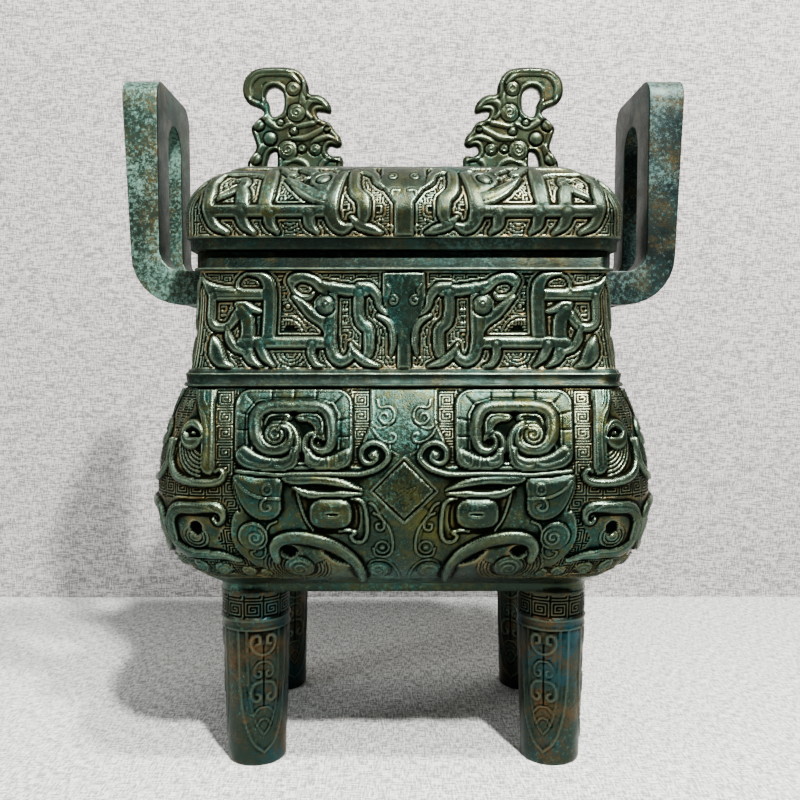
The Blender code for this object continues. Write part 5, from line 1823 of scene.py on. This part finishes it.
# %% Carving of a crest
def crest_clay(c):
    """Coils, beads, eye and tusk of the dragon, over a body scored with hooks."""
    for points, widths in (
            ([(3.4, 36), (3, 42), (6.4, 46.4), (13, 47.4), (20, 46.6), (23.6, 43)], [1.6, 2.6, 2.6, 1.6]),
            ([(26, 44), (25.6, 38), (24.6, 33), (20, 29)], [1.2, 2.4, 2.8, 1.6]),
            ([(9, 36), (8, 31.6), (10, 27.6), (15, 24.6), (20, 26)], [1.4, 2.2, 2.4, 2.2, 1.2]),
            ([(35.6, 33), (32, 35.6), (28.4, 35.4), (26.4, 31.6), (29, 28.4)], [1.0, 2.0, 2.4, 2.0, 1.2]),
            ([(21.2, 20), (26, 20.2), (31, 22.4), (36.6, 26)], [1.8, 2.4, 2.4, 1.2]),
            ([(20.6, 24.2), (25, 25.4), (29.6, 26.4), (34, 28)], [1.4, 2.0, 2.0, 1.0]),
            ([(40.4, 18.6), (36, 20.6), (31, 19.2), (28.4, 16.4)], [1.0, 2.0, 2.2, 1.4]),
            ([(40.8, 10.6), (36, 11.4), (33, 8.4), (34, 3)], [1.0, 2.2, 2.2, 1.2]),
            ([(16, 1), (15.6, 7), (20, 11), (26, 9.6), (29, 4)], [1.4, 2.2, 2.2, 2.2, 1.4]),
            ([(4, 1), (3.6, 8), (6.6, 13.4), (7.8, 17)], [1.6, 2.4, 2.4, 1.4])):
        c.roll(points, widths, 0.45, 0.35)
    for x, y, r, turns in (
            (21.4, 40.6, 2.9, 0), (22.6, 30.6, 3.7, 1.6), (15.8, 26.4, 1.6, 0), (21.4, 22.8, 1.8, 1.2),
            (18.8, 15, 4.0, 1.8), (24.8, 15.6, 1.9, 0), (30.4, 15.4, 2.5, 1.3), (22.4, 5.2, 2.3, 1.3),
            (37, 15, 1.5, 0), (35.4, 23.6, 1.2, 0)):
        c.boss(x, y, r, r, 0.3, 0.5)
        c.cut(arc(x, y, 1.08 * r, 0, 350), 0.5)
        coil = spiral(x, y, 0.72 * r, 60, turns) if turns else arc(x, y, 0.5 * r, 0, 350)
        c.thread(coil, 0.4)
    for x, y, r in ((11.4, 19.8, 2.7), (5, 11.4, 2.5), (6.6, 25.4, 2.3)):
        c.cut(arc(x, y, 1.1 * r, 0, 350), 0.6, 0.6)
        c.boss(x, y, r, r, 0.6, 0.9)


try_out(crest_clay)


# %% Fretwork on a fine grid
CORNERS = ((0, 0), (0, 1), (1, 0), (1, 1))       # a cell's four points, as steps of row and column


def crest_gap(board):
    """How far each point lies outside the metal; less than zero inside it."""
    edge, *holes = crest_outline()
    gap = np.full(board.s.shape, 9.0)
    w, near = board.near_outline(edge)
    gap[w] = near
    for hole in holes:
        w, near = board.near_outline(hole)
        gap[w] = np.maximum(gap[w], -near)
    return gap


def whole_cells(inside):
    """Cells with all four points in the metal; two cells never touch at one point only."""
    cells = inside[:-1, :-1] & inside[1:, :-1] & inside[:-1, 1:] & inside[1:, 1:]
    for _ in range(3):
        a, b, c, d = cells[:-1, :-1], cells[:-1, 1:], cells[1:, :-1], cells[1:, 1:]
        cross = (a & d & ~b & ~c) | (b & c & ~a & ~d)
        cells[:-1, :-1] &= ~cross
        cells[:-1, 1:] &= ~cross
    return cells


def points_of(cells):
    """Which points have a cell beside them, and which of those lie on the cut."""
    rows, columns = cells.shape
    beside = np.zeros((len(CORNERS), rows + 1, columns + 1), bool)
    for layer, (down, along) in zip(beside, CORNERS):
        layer[down:down + rows, along:along + columns] = cells
    used = beside.any(axis=0)
    return used, used & ~beside.all(axis=0)


def crest_faces(cells, number, total):
    """Faces of the front, the back, and the walls between them along the cut."""
    rows, columns = np.nonzero(cells)
    quads = np.column_stack([number[rows, columns], number[rows, columns + 1],
                             number[rows + 1, columns + 1], number[rows + 1, columns]])
    front = quads.tolist()
    back = (quads[:, ::-1] + total).tolist()
    edges = dict.fromkeys((a, b) for quad in front for a, b in zip(quad, quad[1:] + quad[:1]))
    walls = [(b, a, a + total, b + total) for a, b in edges if (b, a) not in edges]
    return front + back + walls


# %% The two crests
def build_crest(name, side):
    """Fretwork from a sheet, carved on both faces."""
    across = np.arange(-1.0, CREST_LENGTH + 1.5, CREST_STEP)
    up = np.arange(-1.5, CREST_HEIGHT + 1.5, CREST_STEP)
    board = Clay(across, up)
    crest_clay(board)
    gap = crest_gap(board)
    cells = whole_cells(gap < 0)
    used, cut = points_of(cells)
    # points on the cut move onto the outline
    slope_t, slope_s = np.gradient(gap, CREST_STEP)
    size = np.maximum(np.hypot(slope_s, slope_t), 0.3)
    move = np.where(cut, np.clip(-gap, 0, 0.9 * CREST_STEP), 0)
    s, t = board.s + move * slope_s / size, board.t + move * slope_t / size
    # both faces come together over a round edge, with a fine line along it
    depth = np.where(cut, 0.0, np.clip(-gap, 0, 9))
    round_off = 1.0 * (1 - np.sqrt(np.clip(1 - (1 - np.clip(depth / 1.3, 0, 1)) ** 2, 0, 1)))
    heights = 0.8 * board.h * smooth(depth / 1.2) + 0.3 * smooth(1 - abs(depth - 1.4) / 0.8)
    heights -= 0.25 * smooth(1 - abs(depth - 2.6) / 0.6)
    lift = CREST_THICKNESS / 2 - 0.4 - round_off + heights
    total = int(used.sum())
    number = -np.ones(used.shape, int)
    number[used] = np.arange(total)
    outer = CREST_SPREAD / 2 + CREST_LENGTH
    sheets = [np.column_stack([side * (outer - s[used]), sign * lift[used], TOP_Z + t[used]])
              for sign in (-1, 1)]
    faces = crest_faces(cells, number, total)
    if side > 0:
        faces = [face[::-1] for face in faces]
    numbers = {label: np.tile(grid.reshape(used.shape)[used], 2)
               for label, grid in finish_numbers(heights).items()}
    piece = finish_mesh(name, np.vstack(sheets), faces, [], "crest_bronze", numbers)
    piece.data.set_sharp_from_angle(angle=math.radians(50))
    return give(piece, "lid")


crests = [build_crest("crest_left", -1), build_crest("crest_right", 1)]
print("crests:", [(crest.name, triangles(crest)) for crest in crests])

# %% [markdown]
